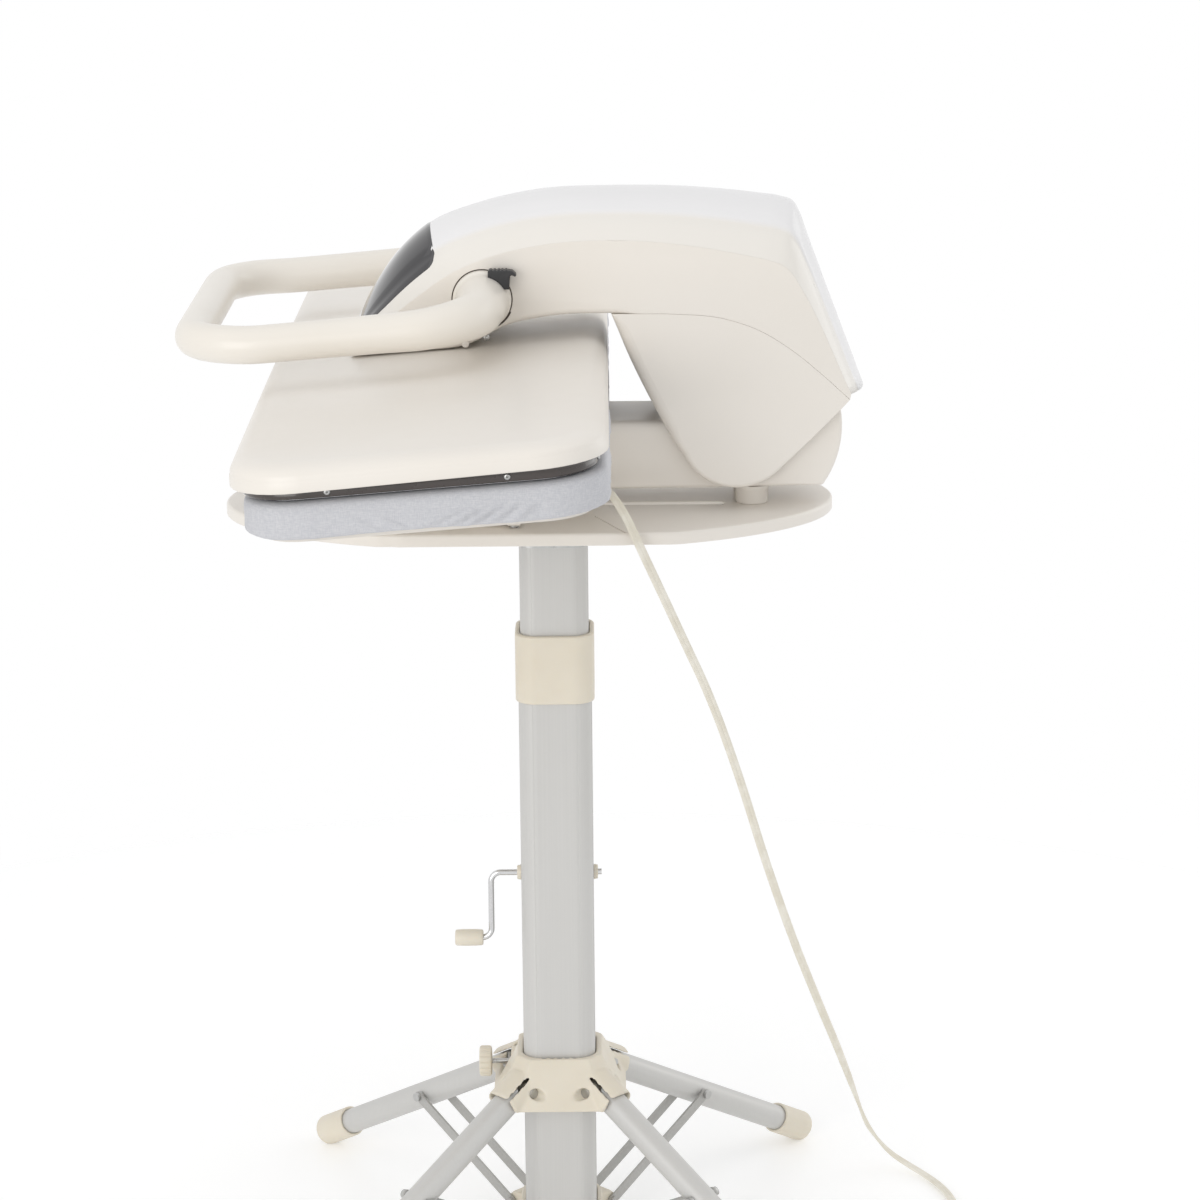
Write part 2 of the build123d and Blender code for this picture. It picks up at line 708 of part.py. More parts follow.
boss_side = 24.0
stud_diameter = 12.0
arc_low = (hinge_y + housing_radius * cos(radians(-34.8)), hinge_z + housing_radius * sin(radians(-34.8)))
arc_high = (hinge_y + housing_radius * cos(radians(60)), hinge_z + housing_radius * sin(radians(60)))

with BuildSketch() as housing_profile:
    with BuildLine():
        Polyline(arc_low, (housing_front, housing_bottom), (housing_front, housing_deck - 8),
                 (housing_front + 8, housing_deck), (92, housing_deck), (112, 766), (140, 786), arc_high)
        ThreePointArc(arc_high, (hinge_y + housing_radius, hinge_z), arc_low)
    make_face()
    fillet(housing_profile.vertices(), 4)

with BuildPart() as base_housing:
    with BuildSketch(side.offset(-housing_half)):
        add(housing_profile.sketch)
    extrude(amount=2 * housing_half)
    fillet(base_housing.faces().filter_by(Axis.X).edges(), 3)
    with BuildSketch(side.offset(-housing_half + housing_wall)):
        add(housing_profile.sketch)
        offset(amount=-housing_wall, mode=Mode.REPLACE)
        with BuildLine():
            Polyline((housing_front + housing_wall, housing_bottom - 5), (housing_front + housing_wall, housing_deck - 20),
                     (190, housing_deck - 20), (190, housing_bottom - 5), close=True)
        make_face()
    extrude(amount=2 * (housing_half - housing_wall), mode=Mode.SUBTRACT)
    for facing in (1, -1):
        with BuildSketch(side.offset(facing * (housing_half - 10))):
            with Locations((hinge_y, hinge_z)):
                Circle(shaft_diameter / 2 + 7)
        extrude(amount=facing * 8)
        with BuildSketch(floor.offset(housing_bottom)):
            with Locations((facing * (post_x + (housing_half - 1 - post_x - boss_side / 2) / 2), post_y)):
                Rectangle(housing_half - 1 - post_x + boss_side / 2, boss_side)
        extrude(amount=30)
    with BuildSketch(side.offset(-housing_half - 5)):
        with Locations((hinge_y, hinge_z)):
            Circle(shaft_diameter / 2 + 0.02)
    extrude(amount=2 * housing_half + 10, mode=Mode.SUBTRACT)
    with BuildSketch(floor.offset(housing_bottom)):
        with Locations((post_x, post_y), (-post_x, post_y)):
            Circle(stud_diameter / 2 + 0.02)
    extrude(amount=22, mode=Mode.SUBTRACT)
    with BuildSketch(side.offset(housing_half - housing_wall - 1)):
        with Locations((gland_y, gland_z)):
            Circle(5.02)
    extrude(amount=housing_wall + 5, mode=Mode.SUBTRACT)
finish(base_housing, "base_housing")

neck_bottom = table_z + 3
pad_places = [(across, along) for across in (neck_half - 8, 8 - neck_half)
              for along in (neck_front + neck_wall / 2, neck_back - neck_wall / 2)]

with BuildPart() as base_feet:
    with BuildSketch(floor.offset(table_z)):
        with Locations((post_x, post_y), (-post_x, post_y)):
            Circle(post_diameter / 2)
    extrude(amount=housing_bottom - table_z)
    fillet(base_feet.edges().filter_by(GeomType.CIRCLE).group_by(Axis.Z)[0], 1)
    with BuildSketch(floor.offset(housing_bottom)):
        with Locations((post_x, post_y), (-post_x, post_y)):
            Circle(stud_diameter / 2)
    extrude(amount=20)
    with BuildSketch(floor.offset(table_z)):
        with Locations(*pad_places):
            Circle(4)
    extrude(amount=neck_bottom - table_z + 4)
finish(base_feet, "base_feet")

with BuildPart() as hinge_shaft_springs:
    with BuildSketch(side.offset(-58)):
        with Locations((hinge_y, hinge_z)):
            Circle(shaft_diameter / 2)
    extrude(amount=2 * 58)
    for facing in (1, -1):
        with BuildSketch(side.offset(facing * 8)):
            with Locations((hinge_y, hinge_z)):
                Circle(18)
        extrude(amount=facing * 24)
finish(hinge_shaft_springs, "hinge_shaft_springs")

with BuildPart() as neck_pocket:
    with BuildSketch(floor.offset(neck_bottom - 5)):
        middle = (neck_front + neck_back) / 2
        depth = neck_back - neck_front - 2 * neck_wall
        with Locations((0, middle)):
            Rectangle(2 * (neck_half - neck_recess - 4), depth)
        with Locations((neck_half, middle), (-neck_half, middle)):
            Rectangle(2 * neck_recess, depth)
    extrude(amount=120)
    split(bisect_by=board.offset(-pan_depth - 4), keep=Keep.BOTTOM)

with BuildPart() as board_neck:
    with BuildSketch(floor.offset(neck_bottom)):
        with Locations((0, (neck_front + neck_back) / 2)):
            Rectangle(2 * neck_half, neck_back - neck_front)
    extrude(amount=120)
    split(bisect_by=board.offset(-pan_depth), keep=Keep.BOTTOM)
    add(neck_pocket.part, mode=Mode.SUBTRACT)
    with BuildSketch(floor.offset(neck_bottom)):
        with Locations((0, (neck_back + housing_front) / 2)):
            Rectangle(2 * neck_tongue, housing_front - neck_back)
    extrude(amount=44)
    with BuildSketch(floor.offset(neck_bottom)):
        with Locations((0, (neck_back + housing_front) / 2)):
            Rectangle(2 * neck_tongue - 8, housing_front - neck_back - 8)
    extrude(amount=40, mode=Mode.SUBTRACT)
    with BuildSketch(floor.offset(neck_bottom)):
        with Locations(*pad_places):
            Circle(4.02)
    extrude(amount=4.1, mode=Mode.SUBTRACT)
finish(board_neck, "board_neck")

# Board: a pan, a pad and a cloth cover pulled over both

inner_length = board_length - 2 * cloth
inner_board = board_width - 2 * cloth

with BuildPart() as cover_hollow:
    with BuildSketch(board.offset(cloth - cover_depth)):
        RectangleRounded(inner_length, inner_board, board_corner - cloth)
    extrude(amount=cover_depth - 2 * cloth)
    fillet(cover_hollow.faces().sort_by(board_up)[-1].edges(), 6 - cloth)

with BuildPart() as board_cover:
    with BuildSketch(board.offset(-cover_depth)):
        RectangleRounded(board_length, board_width, board_corner)
    extrude(amount=cover_depth)
    fillet(board_cover.faces().sort_by(board_up)[-1].edges(), 6)
    with BuildSketch(board.offset(-cover_depth)):
        RectangleRounded(board_length - 2 * cover_turn, board_width - 2 * cover_turn, board_corner - cover_turn)
    extrude(amount=cloth, mode=Mode.SUBTRACT)
    add(cover_hollow.part, mode=Mode.SUBTRACT)
finish(board_cover, "board_cover")

with BuildPart() as board_pad:
    with BuildSketch(board.offset(pan_top + fit)):
        RectangleRounded(inner_length - 2 * fit, inner_board - 2 * fit, board_corner - cloth - fit)
    extrude(amount=-cloth - fit - pan_top - fit)
    fillet(board_pad.faces().sort_by(board_up)[-1].edges(), 5)
finish(board_pad, "board_pad")

with BuildPart() as board_pan:
    pan_rim = cloth + fit - cover_depth
    with BuildSketch(board.offset(pan_rim)):
        RectangleRounded(inner_length - 2 * fit, inner_board - 2 * fit, board_corner - cloth - fit)
    extrude(amount=pan_top - pan_rim)
    with BuildSketch(board.offset(-pan_depth)):
        RectangleRounded(board_length - 2 * pan_inset, board_width - 2 * pan_inset, board_corner - pan_inset)
    extrude(amount=pan_depth + pan_rim)
    with BuildSketch(board.offset(-pan_depth)):
        RectangleRounded(board_length - 2 * pan_inset - 5, board_width - 2 * pan_inset - 5, board_corner - pan_inset - 2.5)
    extrude(amount=pan_depth + pan_top - 2.5, mode=Mode.SUBTRACT)
    with BuildSketch(board.offset(-pan_depth)):
        with Locations((0, (neck_front + neck_back) / 2 - board_y)):
            Rectangle(2 * neck_half - 20, neck_back - neck_front)
    extrude(amount=pan_depth + pan_top - 1)
finish(board_pan, "board_pan")

# Platen: the cover's shell, the dark band, the heated plate, its element and the screws

with BuildPart() as platen_cover:
    with BuildSketch(board):
        with Locations((0, plate_v)):
            RectangleRounded(shell_length, shell_width, shell_corner)
    extrude(amount=shell_crown + 10)
    with BuildSketch(board_front.offset(-shell_width)):
        with BuildLine():
            ThreePointArc((-shell_length / 2 - 5, shell_edge), (0, shell_crown), (shell_length / 2 + 5, shell_edge))
            Polyline((shell_length / 2 + 5, shell_edge), (shell_length / 2 + 5, shell_crown + 20),
                     (-shell_length / 2 - 5, shell_crown + 20), (-shell_length / 2 - 5, shell_edge))
        make_face()
    extrude(amount=2 * shell_width, mode=Mode.SUBTRACT)
    fillet(platen_cover.faces().sort_by(board_up)[-1].edges(), shell_round)
    with BuildSketch(board_side.offset(-shell_length)):
        with BuildLine():
            Polyline((plate_v - shell_width / 2 - 5, shell_rim_front), (plate_v + shell_width / 2 + 5, shell_rim_back),
                     (plate_v + shell_width / 2 + 5, -20), (plate_v - shell_width / 2 - 5, -20), close=True)
        make_face()
    extrude(amount=2 * shell_length, mode=Mode.SUBTRACT)
    with BuildSketch(board):
        with Locations((0, plate_v)):
            RectangleRounded(shell_length - 2 * shell_wall, shell_width - 2 * shell_wall, shell_corner - shell_wall)
    extrude(amount=shell_edge - 1.5 * shell_wall, mode=Mode.SUBTRACT)
    with BuildSketch(board):
        with Locations((0, -25)):
            RectangleRounded(100, 54, 6)
    extrude(amount=shell_crown + 10, mode=Mode.SUBTRACT)
    with BuildSketch(board.offset(plate_skin)):
        with Locations((0, plate_v)):
            with GridLocations(560, 70, 2, 2):
                Circle(6)
    extrude(amount=shell_edge - 1.5 * shell_wall + 1 - plate_skin)
finish(platen_cover, "platen_cover")

screw_places = [(along, plate_v + edge * band_width / 2, 90 * edge)
                for along in (370, 125, -125, -370) for edge in (1, -1)]
screw_places += [(end * band_length / 2, plate_v + across, 90 - 90 * end) for end in (1, -1) for across in (63, -63)]
screw_level = 5.6


def screw_plane(place):
    """The plane square to one platen screw, at the band's outside and facing outwards."""
    along, across, turn = place
    outward = Vector(cos(radians(turn)), sin(radians(turn)) * tilt_cos, sin(radians(turn)) * tilt_sin)
    return Plane(origin=board.from_local_coords(Vector(along, across, screw_level)), z_dir=outward)


with BuildPart() as heat_band:
    with BuildSketch(board.offset(band_low)):
        with Locations((0, plate_v)):
            RectangleRounded(band_length, band_width, band_corner)
            RectangleRounded(band_length - 2 * band_wall, band_width - 2 * band_wall, band_corner - band_wall,
                             mode=Mode.SUBTRACT)
    extrude(amount=band_high - band_low)
    for place in screw_places:
        with BuildSketch(screw_plane(place)):
            Circle(1.52)
        extrude(amount=-band_wall - 1, mode=Mode.SUBTRACT)
finish(heat_band, "heat_band")

with BuildPart() as heated_plate:
    with BuildSketch(board.offset(plate_low)):
        with Locations((0, plate_v)):
            RectangleRounded(plate_length, plate_width, plate_corner)
    extrude(amount=plate_high - plate_low)
    with BuildSketch(board.offset(plate_skin)):
        with Locations((0, plate_v)):
            RectangleRounded(plate_length - 20, plate_width - 20, plate_corner - 10)
    extrude(amount=plate_high, mode=Mode.SUBTRACT)
    for place in screw_places:
        with BuildSketch(screw_plane(place)):
            Circle(1.52)
        extrude(amount=-13, mode=Mode.SUBTRACT)
finish(heated_plate, "heated_plate")

with BuildPart() as platen_screws:
    for place in screw_places:
        with BuildSketch(screw_plane(place)):
            Circle(1.5)
        extrude(amount=-12)
        with BuildSketch(screw_plane(place).offset(0.05)):
            Circle(screw_diameter / 2)
        extrude(amount=1.5)
    for place in screw_places:
        with BuildSketch(screw_plane(place).offset(-1)):
            Circle(1.5)
        extrude(amount=1.2)
finish(platen_screws, "platen_screws")

with BuildPart() as heating_element:
    element = board.offset(plate_skin + 3.6)
    with BuildLine(element) as element_line:
        FilletPolyline((-40, 60), (-360, 60), (-360, -80), (360, -80), (360, 60), (40, 60), radius=30)
    with BuildSketch(Plane(origin=element_line.line @ 0, z_dir=element_line.line % 0)):
        Circle(3.5)
    sweep()
finish(heating_element, "heating_element")

with BuildPart() as head_bracket:
    with BuildSketch(board.offset(plate_skin)):
        with Locations((0, -25)):
            RectangleRounded(180, 50, 6)
    extrude(amount=4)
    with BuildSketch(board.offset(plate_skin)):
        with Locations((0, -25)):
            RectangleRounded(64, 30, 4)
    extrude(amount=80)
    with BuildSketch(floor.offset(bracket_flange)):
        Rectangle(400, 600)
    extrude(amount=100, mode=Mode.SUBTRACT)
    with BuildSketch(floor.offset(bracket_flange - 1)):
        with Locations((0, board_y - 29)):
            RectangleRounded(88, 40, 4)
    extrude(amount=4)
finish(head_bracket, "head_bracket")

# Arm: a crowned cover over a shell, the hinge cheeks, and what the shell holds


def cover_depth_at(across, depth):
    """How far the arm's crown lies below its crest at a distance from the middle."""
    shares = [(0, 0.0), (20, 0.1), (arm_flat, arm_flat_share), (arm_half - 2, 1.0)]
    for (low, low_share), (high, high_share) in zip(shares, shares[1:]):
        if across <= high:
            return depth * (low_share + (high_share - low_share) * (across - low) / (high - low))
    return depth


def arm_frame(crest_point, crease_point):
    """The plane through a crest point and its crease point, y pointing down to the crease, and their distance."""
    (crest_y, crest_z), (crease_y, crease_z) = crest_point, crease_point
    depth = sqrt((crease_y - crest_y) ** 2 + (crease_z - crest_z) ** 2)
    fall = ((crease_y - crest_y) / depth, (crease_z - crest_z) / depth)
    return Plane(origin=(0, column_y + crest_y, crest_z), x_dir=(1, 0, 0), z_dir=(0, -fall[1], fall[0])), depth


def arm_plane(number):
    """The plane and depth at a numbered place along the arm, or at a share of the way to the next one."""
    first = min(max(int(number), 0), len(crest) - 2)
    share = number - first
    points = [tuple(low + (high - low) * share for low, high in zip(line[first], line[first + 1]))
              for line in (crest, crease)]
    return arm_frame(*points)


def arm_section(number, line):
    """A closed cross-section at one place along the arm, from (across, depth below the crest) points."""
    plane, depth = arm_plane(number)
    with BuildSketch(plane) as section:
        with BuildLine():
            Polyline(*line(depth), close=True)
        make_face()
    return section.sketch


def crown_outside(depth):
    places = (-arm_half + 2, -arm_flat, -20, 0, 20, arm_flat, arm_half - 2)
    return [(across, cover_depth_at(abs(across), depth)) for across in places]


def crown_inside(depth):
    rim = arm_half - 2 - arm_wall
    below = [(across, cover_depth_at(abs(across), depth) + arm_wall) for across in (1.5 - arm_flat, 0, arm_flat - 1.5)]
    return [(-rim, depth + 4), (-rim, depth - 1), *below, (rim, depth - 1), (rim, depth + 4)]


def panel_line(half, top, bottom):
    """The closed outline of the panel's band between two depths below the crown."""
    places = (-half, -arm_flat, -20, 0, 20, arm_flat, half)
    return lambda depth: ([(across, cover_depth_at(abs(across), depth) + top) for across in places]
                          + [(across, cover_depth_at(abs(across), depth) + bottom) for across in reversed(places)])


last = len(crest) - 1
panel_end = 3

with BuildPart() as arm_top_cover:
    loft([arm_section(number, crown_outside) for number in range(last + 1)], ruled=True)
    loft([arm_section(number, crown_inside) for number in (0.12, *range(1, last), last + 0.1)], ruled=True,
         mode=Mode.SUBTRACT)
    for facing in (1, -1):
        lip_middle = facing * (arm_half - 4.4)
        lip = [arm_section(number, lambda depth: [(lip_middle - 1, depth - 1.5), (lip_middle + 1, depth - 1.5),
                                                  (lip_middle + 1, depth + arm_lip), (lip_middle - 1, depth + arm_lip)])
               for number in range(1, last)]
        loft(lip, ruled=True)
    recess = panel_line(panel_half, -3, 1.3)
    loft([arm_section(number, recess) for number in (-0.05, *range(1, panel_end + 1))], ruled=True, mode=Mode.SUBTRACT)
finish(arm_top_cover, "arm_top_cover")

with BuildPart() as control_panel:
    panel = panel_line(panel_half - 0.3, 0, 1.2)
    loft([arm_section(number, panel) for number in (0, *range(1, panel_end), panel_end - 0.01)], ruled=True)
finish(control_panel, "control_panel")

shell_top = []
for number in range(last + 1):
    fall = arm_plane(number)[0].y_dir
    shell_top.append((crease[number][0] + seam * fall.Y, crease[number][1] + seam * fall.Z))
nose_bottom = (-157.0, 778.0)
under_line = [arm_under_back] + arm_under + [nose_bottom]
cheek_radius_low = (hinge_y + cheek_radius * cos(radians(-40)), hinge_z + cheek_radius * sin(radians(-40)))
cheek_radius_front = (hinge_y + cheek_radius * cos(radians(-155)), hinge_z + cheek_radius * sin(radians(-155)))

side_wall = 2.6

with BuildSketch() as shell_profile:
    with BuildLine():
        Polyline(*shell_top, *cheek_line, *under_line, close=True)
    make_face()

with BuildPart() as arm_side_shell:
    with BuildSketch(side.offset(-arm_half)):
        add(shell_profile.sketch)
    extrude(amount=2 * arm_half)
    with BuildSketch(side.offset(-arm_half + side_wall)):
        add(shell_profile.sketch)
        offset(amount=-side_wall, kind=Kind.INTERSECTION, mode=Mode.REPLACE)
        with BuildLine():
            Polyline(*[(y, z - 8) for y, z in crease[1:-1]], *[(y, z + 25) for y, z in reversed(crease[1:-1])], close=True)
        make_face()
        with BuildLine():
            Polyline((51, 790), (51, 822), *[(y, z + 8) for y, z in reversed(cheek_line[1:-1])],
                     (cheek_line[1][0] + 8, cheek_line[1][1] - 4), (cheek_line[1][0] + 4, 740), (120, 760), close=True)
        make_face()
    extrude(amount=2 * (arm_half - side_wall), mode=Mode.SUBTRACT)
    for facing in (1, -1):
        with BuildSketch(side.offset(facing * (arm_half - recess_depth))):
            with Locations((hub_y, hub_z)):
                Circle(knuckle_diameter / 2 + recess_gap)
        extrude(amount=facing * 5, mode=Mode.SUBTRACT)
        with BuildSketch(side.offset(facing * (arm_half - side_wall - 5))):
            with Locations((hub_y, hub_z)):
                Circle(axle_diameter / 2 + 4)
        extrude(amount=facing * (side_wall + 5 - recess_depth))
        with BuildSketch(side.offset(facing * 40)):
            with Locations((hub_y, hub_z)):
                Circle(axle_diameter / 2 + pin_gap)
        extrude(amount=facing * 25, mode=Mode.SUBTRACT)
    with BuildSketch(board.offset(10)):
        with Locations((0, -25)):
            RectangleRounded(64.6, 30.6, 4.3)
    extrude(amount=40, mode=Mode.SUBTRACT)
finish(arm_side_shell, "arm_side_shell")

with BuildPart() as hinge_cheeks:
    for facing in (1, -1):
        with BuildSketch(side.offset(facing * cheek_inner)):
            with BuildLine():
                Polyline(cheek_radius_front, (96.3, 707), (arm_under_back[0] + 0.4, arm_under_back[1] - seam),
                         *[(y, z - seam) for y, z in reversed(cheek_line)], (229.4, 732), (197.5, 700), cheek_radius_low)
                ThreePointArc(cheek_radius_low, (hinge_y, hinge_z - cheek_radius), cheek_radius_front)
            make_face()
        extrude(amount=facing * (arm_half - cheek_inner))
        with BuildSketch(side.offset(facing * cheek_inner)):
            with BuildLine():
                Polyline((60, 795), (60, 824), (130, 821), (180, 802), (213, 774), (213, 745), (150, 745), close=True)
            make_face()
        extrude(amount=facing * (arm_half - side_wall - 0.2 - cheek_inner))
        with BuildSketch(side.offset(facing * (cheek_inner - 2))):
            with Locations((hinge_y, hinge_z)):
                Circle(shaft_diameter / 2 + pin_gap)
        extrude(amount=facing * (58.4 - cheek_inner + 2), mode=Mode.SUBTRACT)
finish(hinge_cheeks, "hinge_cheeks")

with BuildPart() as control_board:
    with BuildSketch(floor.offset(800)):
        with Locations((0, -102)):
            Rectangle(84, 40)
    extrude(amount=1.6)
    with BuildSketch(floor.offset(801)):
        with Locations((0, -102)):
            with GridLocations(24, 18, 3, 2):
                Rectangle(10, 8)
    extrude(amount=6)
    with BuildSketch(floor.offset(bracket_flange + 3)):
        with Locations((0, -108)):
            with GridLocations(70, 20, 2, 2):
                Circle(2.5)
    extrude(amount=800.5 - bracket_flange - 3)
finish(control_board, "control_board")

tank_low = 811.9

with BuildPart() as water_tank:
    with BuildSketch(floor.offset(tank_low)):
        with Locations((0, -9)):
            RectangleRounded(84, 66, 8)
    extrude(amount=40)
    with BuildSketch(floor.offset(tank_low + 2)):
        with Locations((0, -9)):
            RectangleRounded(80, 62, 6)
    extrude(amount=36, mode=Mode.SUBTRACT)
    with BuildSketch(floor.offset(tank_low + 34)):
        with Locations((20, -9)):
            Circle(9)
    extrude(amount=10, mode=Mode.SUBTRACT)
    with BuildSketch(floor.offset(804.2)):
        with Locations((0, -33)):
            Rectangle(50, 5)
    extrude(amount=tank_low - 803.2)
finish(water_tank, "water_tank")

with BuildPart() as steam_pump:
    with BuildSketch(side.offset(-22)):
        with Locations((-66, 812)):
            Circle(14)
        with Locations((-71, 795)):
            Rectangle(14, 13)
    extrude(amount=44)
    with BuildSketch(side.offset(22)):
        with Locations((-66, 812)):
            Circle(5)
    extrude(amount=8)
finish(steam_pump, "steam_pump")

# Handle: two knuckles on the arm's sides and the bent tube between them; a button is set in the near knuckle
handle_plane = Plane(origin=(0, column_y + hub_y, hub_z), x_dir=(1, 0, 0),
                     z_dir=(0, -sin(radians(handle_drop)), cos(radians(handle_drop))))
latch_y = (-48.0, -29.0)
latch_z = (832.0, 847.0)
latch_x = (64.0, 75.0)
latch_travel = 3.0

knuckles = []
for facing in (1, -1):
    with BuildPart() as knuckle:
        with BuildSketch(side.offset(facing * (arm_half - recess_depth + 0.3))):
            with Locations((hub_y, hub_z)):
                Circle(knuckle_diameter / 2)
        extrude(amount=facing * (knuckle_out - arm_half + recess_depth - 0.3))
        fillet(knuckle.faces().sort_by(Axis.X)[-1 if facing == 1 else 0].edges(), 4)
    knuckles.append(knuckle.part)

with BuildPart() as handle:
    with BuildLine(handle_plane) as handle_line:
        FilletPolyline((knuckle_out - 3, 0), (handle_half, 0), (handle_half, -handle_reach),
                       (-handle_half, -handle_reach), (-handle_half, 0), (3 - knuckle_out, 0),
                       radius=[handle_bend, handle_corner, handle_corner, handle_bend])
    with BuildSketch(Plane(origin=handle_line.line @ 0, z_dir=handle_line.line % 0)):
        Circle(handle_diameter / 2)
    sweep()
    add(knuckles)
    for facing in (1, -1):
        with BuildSketch(side.offset(facing * 52)):
            with Locations((hub_y, hub_z)):
                Circle(axle_diameter / 2)
        extrude(amount=facing * 12)
    with BuildSketch(side.offset(latch_x[0] - 0.2)):
        with Locations(((latch_y[0] - latch_travel - 0.3 + latch_y[1] + 10) / 2, (latch_z[0] + latch_z[1]) / 2)):
            Rectangle(latch_y[1] + 10 - latch_y[0] + latch_travel + 0.3, latch_z[1] - latch_z[0] + 0.4)
    extrude(amount=latch_x[1] - latch_x[0] + 0.4, mode=Mode.SUBTRACT)
finish(handle, "handle")

with BuildPart() as handle_latch:
    with BuildSketch(side.offset(latch_x[0])):
        with Locations(((latch_y[0] + latch_y[1]) / 2, (latch_z[0] + latch_z[1]) / 2)):
            RectangleRounded(latch_y[1] - latch_y[0], latch_z[1] - latch_z[0], 2)
    extrude(amount=latch_x[1] - latch_x[0])
finish(handle_latch, "handle_latch")

# Cord: a gland on the housing, the hanging run, and a coil of two layers ending in the plug

with BuildPart() as cord_gland:
    with BuildSketch(side.offset(housing_half - housing_wall - 1)):
        with Locations((gland_y, gland_z)):
            Circle(5)
    extrude(amount=cord_points[0][0] - housing_half + housing_wall + 1)
    with BuildSketch(side.offset(housing_half + 0.1)):
        with Locations((gland_y, gland_z)):
            Circle(6.4)
    extrude(amount=3)
finish(cord_gland, "cord_gland")


def bend_radii(points):
    """A radius at each inner point that uses under half of the shorter run beside it."""
    radii = []
    for before, here, after in zip(points, points[1:], points[2:]):
        run_in = Vector(*here) - Vector(*before)
        run_out = Vector(*after) - Vector(*here)
        half_turn = radians(run_in.get_angle(run_out)) / 2
        radii.append(0.45 * min(run_in.length, run_out.length) / tan(half_turn))
    return radii


def least_gap(samples, near):
    """The least clear distance between two stretches of tube that are more than near samples apart."""
    least = 1000.0
    for index, first in enumerate(samples):
        for second in samples[index + near:]:
            least = min(least, (first - second).length)
    return least - cord_diameter


cord_route = [(x, y + column_y, z) for x, y, z in cord_points]
cord_radii = bend_radii(cord_route)
print("cord radii:", ", ".join(f"{radius:.0f}" for radius in cord_radii))

with BuildPart() as power_cord:
    with BuildLine() as cord_line:
        FilletPolyline(*cord_route, radius=cord_radii)
    with BuildSketch(Plane(origin=cord_line.line @ 0, z_dir=cord_line.line % 0)):
        Circle(cord_diameter / 2)
    sweep()
finish(power_cord, "power_cord")
cord_length = cord_line.wires()[0].length
print(f"cord run {cord_length:.0f} mm, "
      f"{power_cord.part.volume / (pi * cord_diameter ** 2 / 4 * cord_length):.4f} of section times length")

coil_step = (cord_diameter + coil_gap) / 2
coil_rise = cord_diameter + coil_gap
coil_x = cord_points[-1][0] + cord_diameter + 1
coil_y = column_y + cord_points[-1][1] - coil_radius


def coil_point(out, along, height):
    """A point of the coil: out from its middle towards the cord, along the cord's direction, and height."""
    return Vector(coil_x + along, coil_y + out, cord_rest + height)


with BuildPart() as cord_coil:
    with BuildLine() as coil_line:
        Line(Vector(cord_route[-1]), coil_point(coil_radius, 0, 0))
        radius = coil_radius
        height = 0.0
        place = coil_radius
        for half in range(4 * coil_turns):
            facing = 1 if half % 2 == 0 else -1
            if half == 2 * coil_turns:
                top = sqrt(radius ** 2 + coil_rise ** 2 / 4)
                middle = coil_point(0, facing * top, coil_rise / 2)
                TangentArc(coil_point(place, 0, 0), middle, tangent=(facing, 0, 0))
                TangentArc(middle, coil_point(place - 2 * facing * radius, 0, coil_rise),
                           tangent=(0, -facing * radius / top, coil_rise / 2 / top))
                height = coil_rise
            else:
                centre = place - facing * radius
                ThreePointArc(coil_point(place, 0, height), coil_point(centre, facing * radius, height),
                              coil_point(centre - facing * radius, 0, height))
            place = place - 2 * facing * radius
            radius = radius - coil_step if half < 2 * coil_turns else radius + coil_step
        Line(coil_point(place, 0, height), coil_point(place, coil_exit, height))
    with BuildSketch(Plane(origin=Vector(cord_route[-1]), z_dir=(1, 0, 0))):
        Circle(cord_diameter / 2)
    sweep()
finish(cord_coil, "cord_coil")
coil_wire = coil_line.wires()[0]
coil_count = int(coil_wire.length / 2)
coil_samples = [coil_wire.position_at(index / coil_count) for index in range(coil_count + 1)]
print(f"coil length {coil_wire.length:.0f} mm, least gap to itself {least_gap(coil_samples, 20):.2f} mm, "
      f"{cord_coil.part.volume / (pi * cord_diameter ** 2 / 4 * coil_wire.length):.4f} of section times length")

plug_x = coil_x + coil_exit
plug_z = cord_rest + coil_rise
plug_half = plug_z - 0.3
plug_plane = Plane(origin=(plug_x, coil_y + coil_radius, plug_z), x_dir=(0, 1, 0), z_dir=(1, 0, 0))

with BuildPart() as mains_plug:
    with BuildSketch(plug_plane):
        RectangleRounded(plug_width, 2 * plug_half, 6)
    extrude(amount=plug_length)
    fillet(mains_plug.faces().sort_by(Axis.X)[0].edges(), 3)
    with BuildSketch(plug_plane):
        Circle(cord_diameter / 2 + 2.4)
    extrude(amount=-plug_relief)
    with BuildSketch(plug_plane.offset(-plug_relief)):
        Circle(cord_diameter / 2 + 0.02)
    extrude(amount=plug_relief, mode=Mode.SUBTRACT)
    with BuildSketch(plug_plane.offset(plug_length)):
        with Locations((pin_spacing / 2, 0), (-pin_spacing / 2, 0)):
            Circle(2.41)
    extrude(amount=-8, mode=Mode.SUBTRACT)
finish(mains_plug, "mains_plug")

with BuildPart() as plug_pins:
    with BuildSketch(plug_plane.offset(plug_length - 8)):
        with Locations((pin_spacing / 2, 0), (-pin_spacing / 2, 0)):
            Circle(2.4)
    extrude(amount=27)
    fillet(plug_pins.edges().filter_by(GeomType.CIRCLE).group_by(Axis.X)[-1], 1)
finish(plug_pins, "plug_pins")
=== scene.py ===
import math

import bmesh
import bpy
import numpy as np
from mathutils import Matrix, Vector


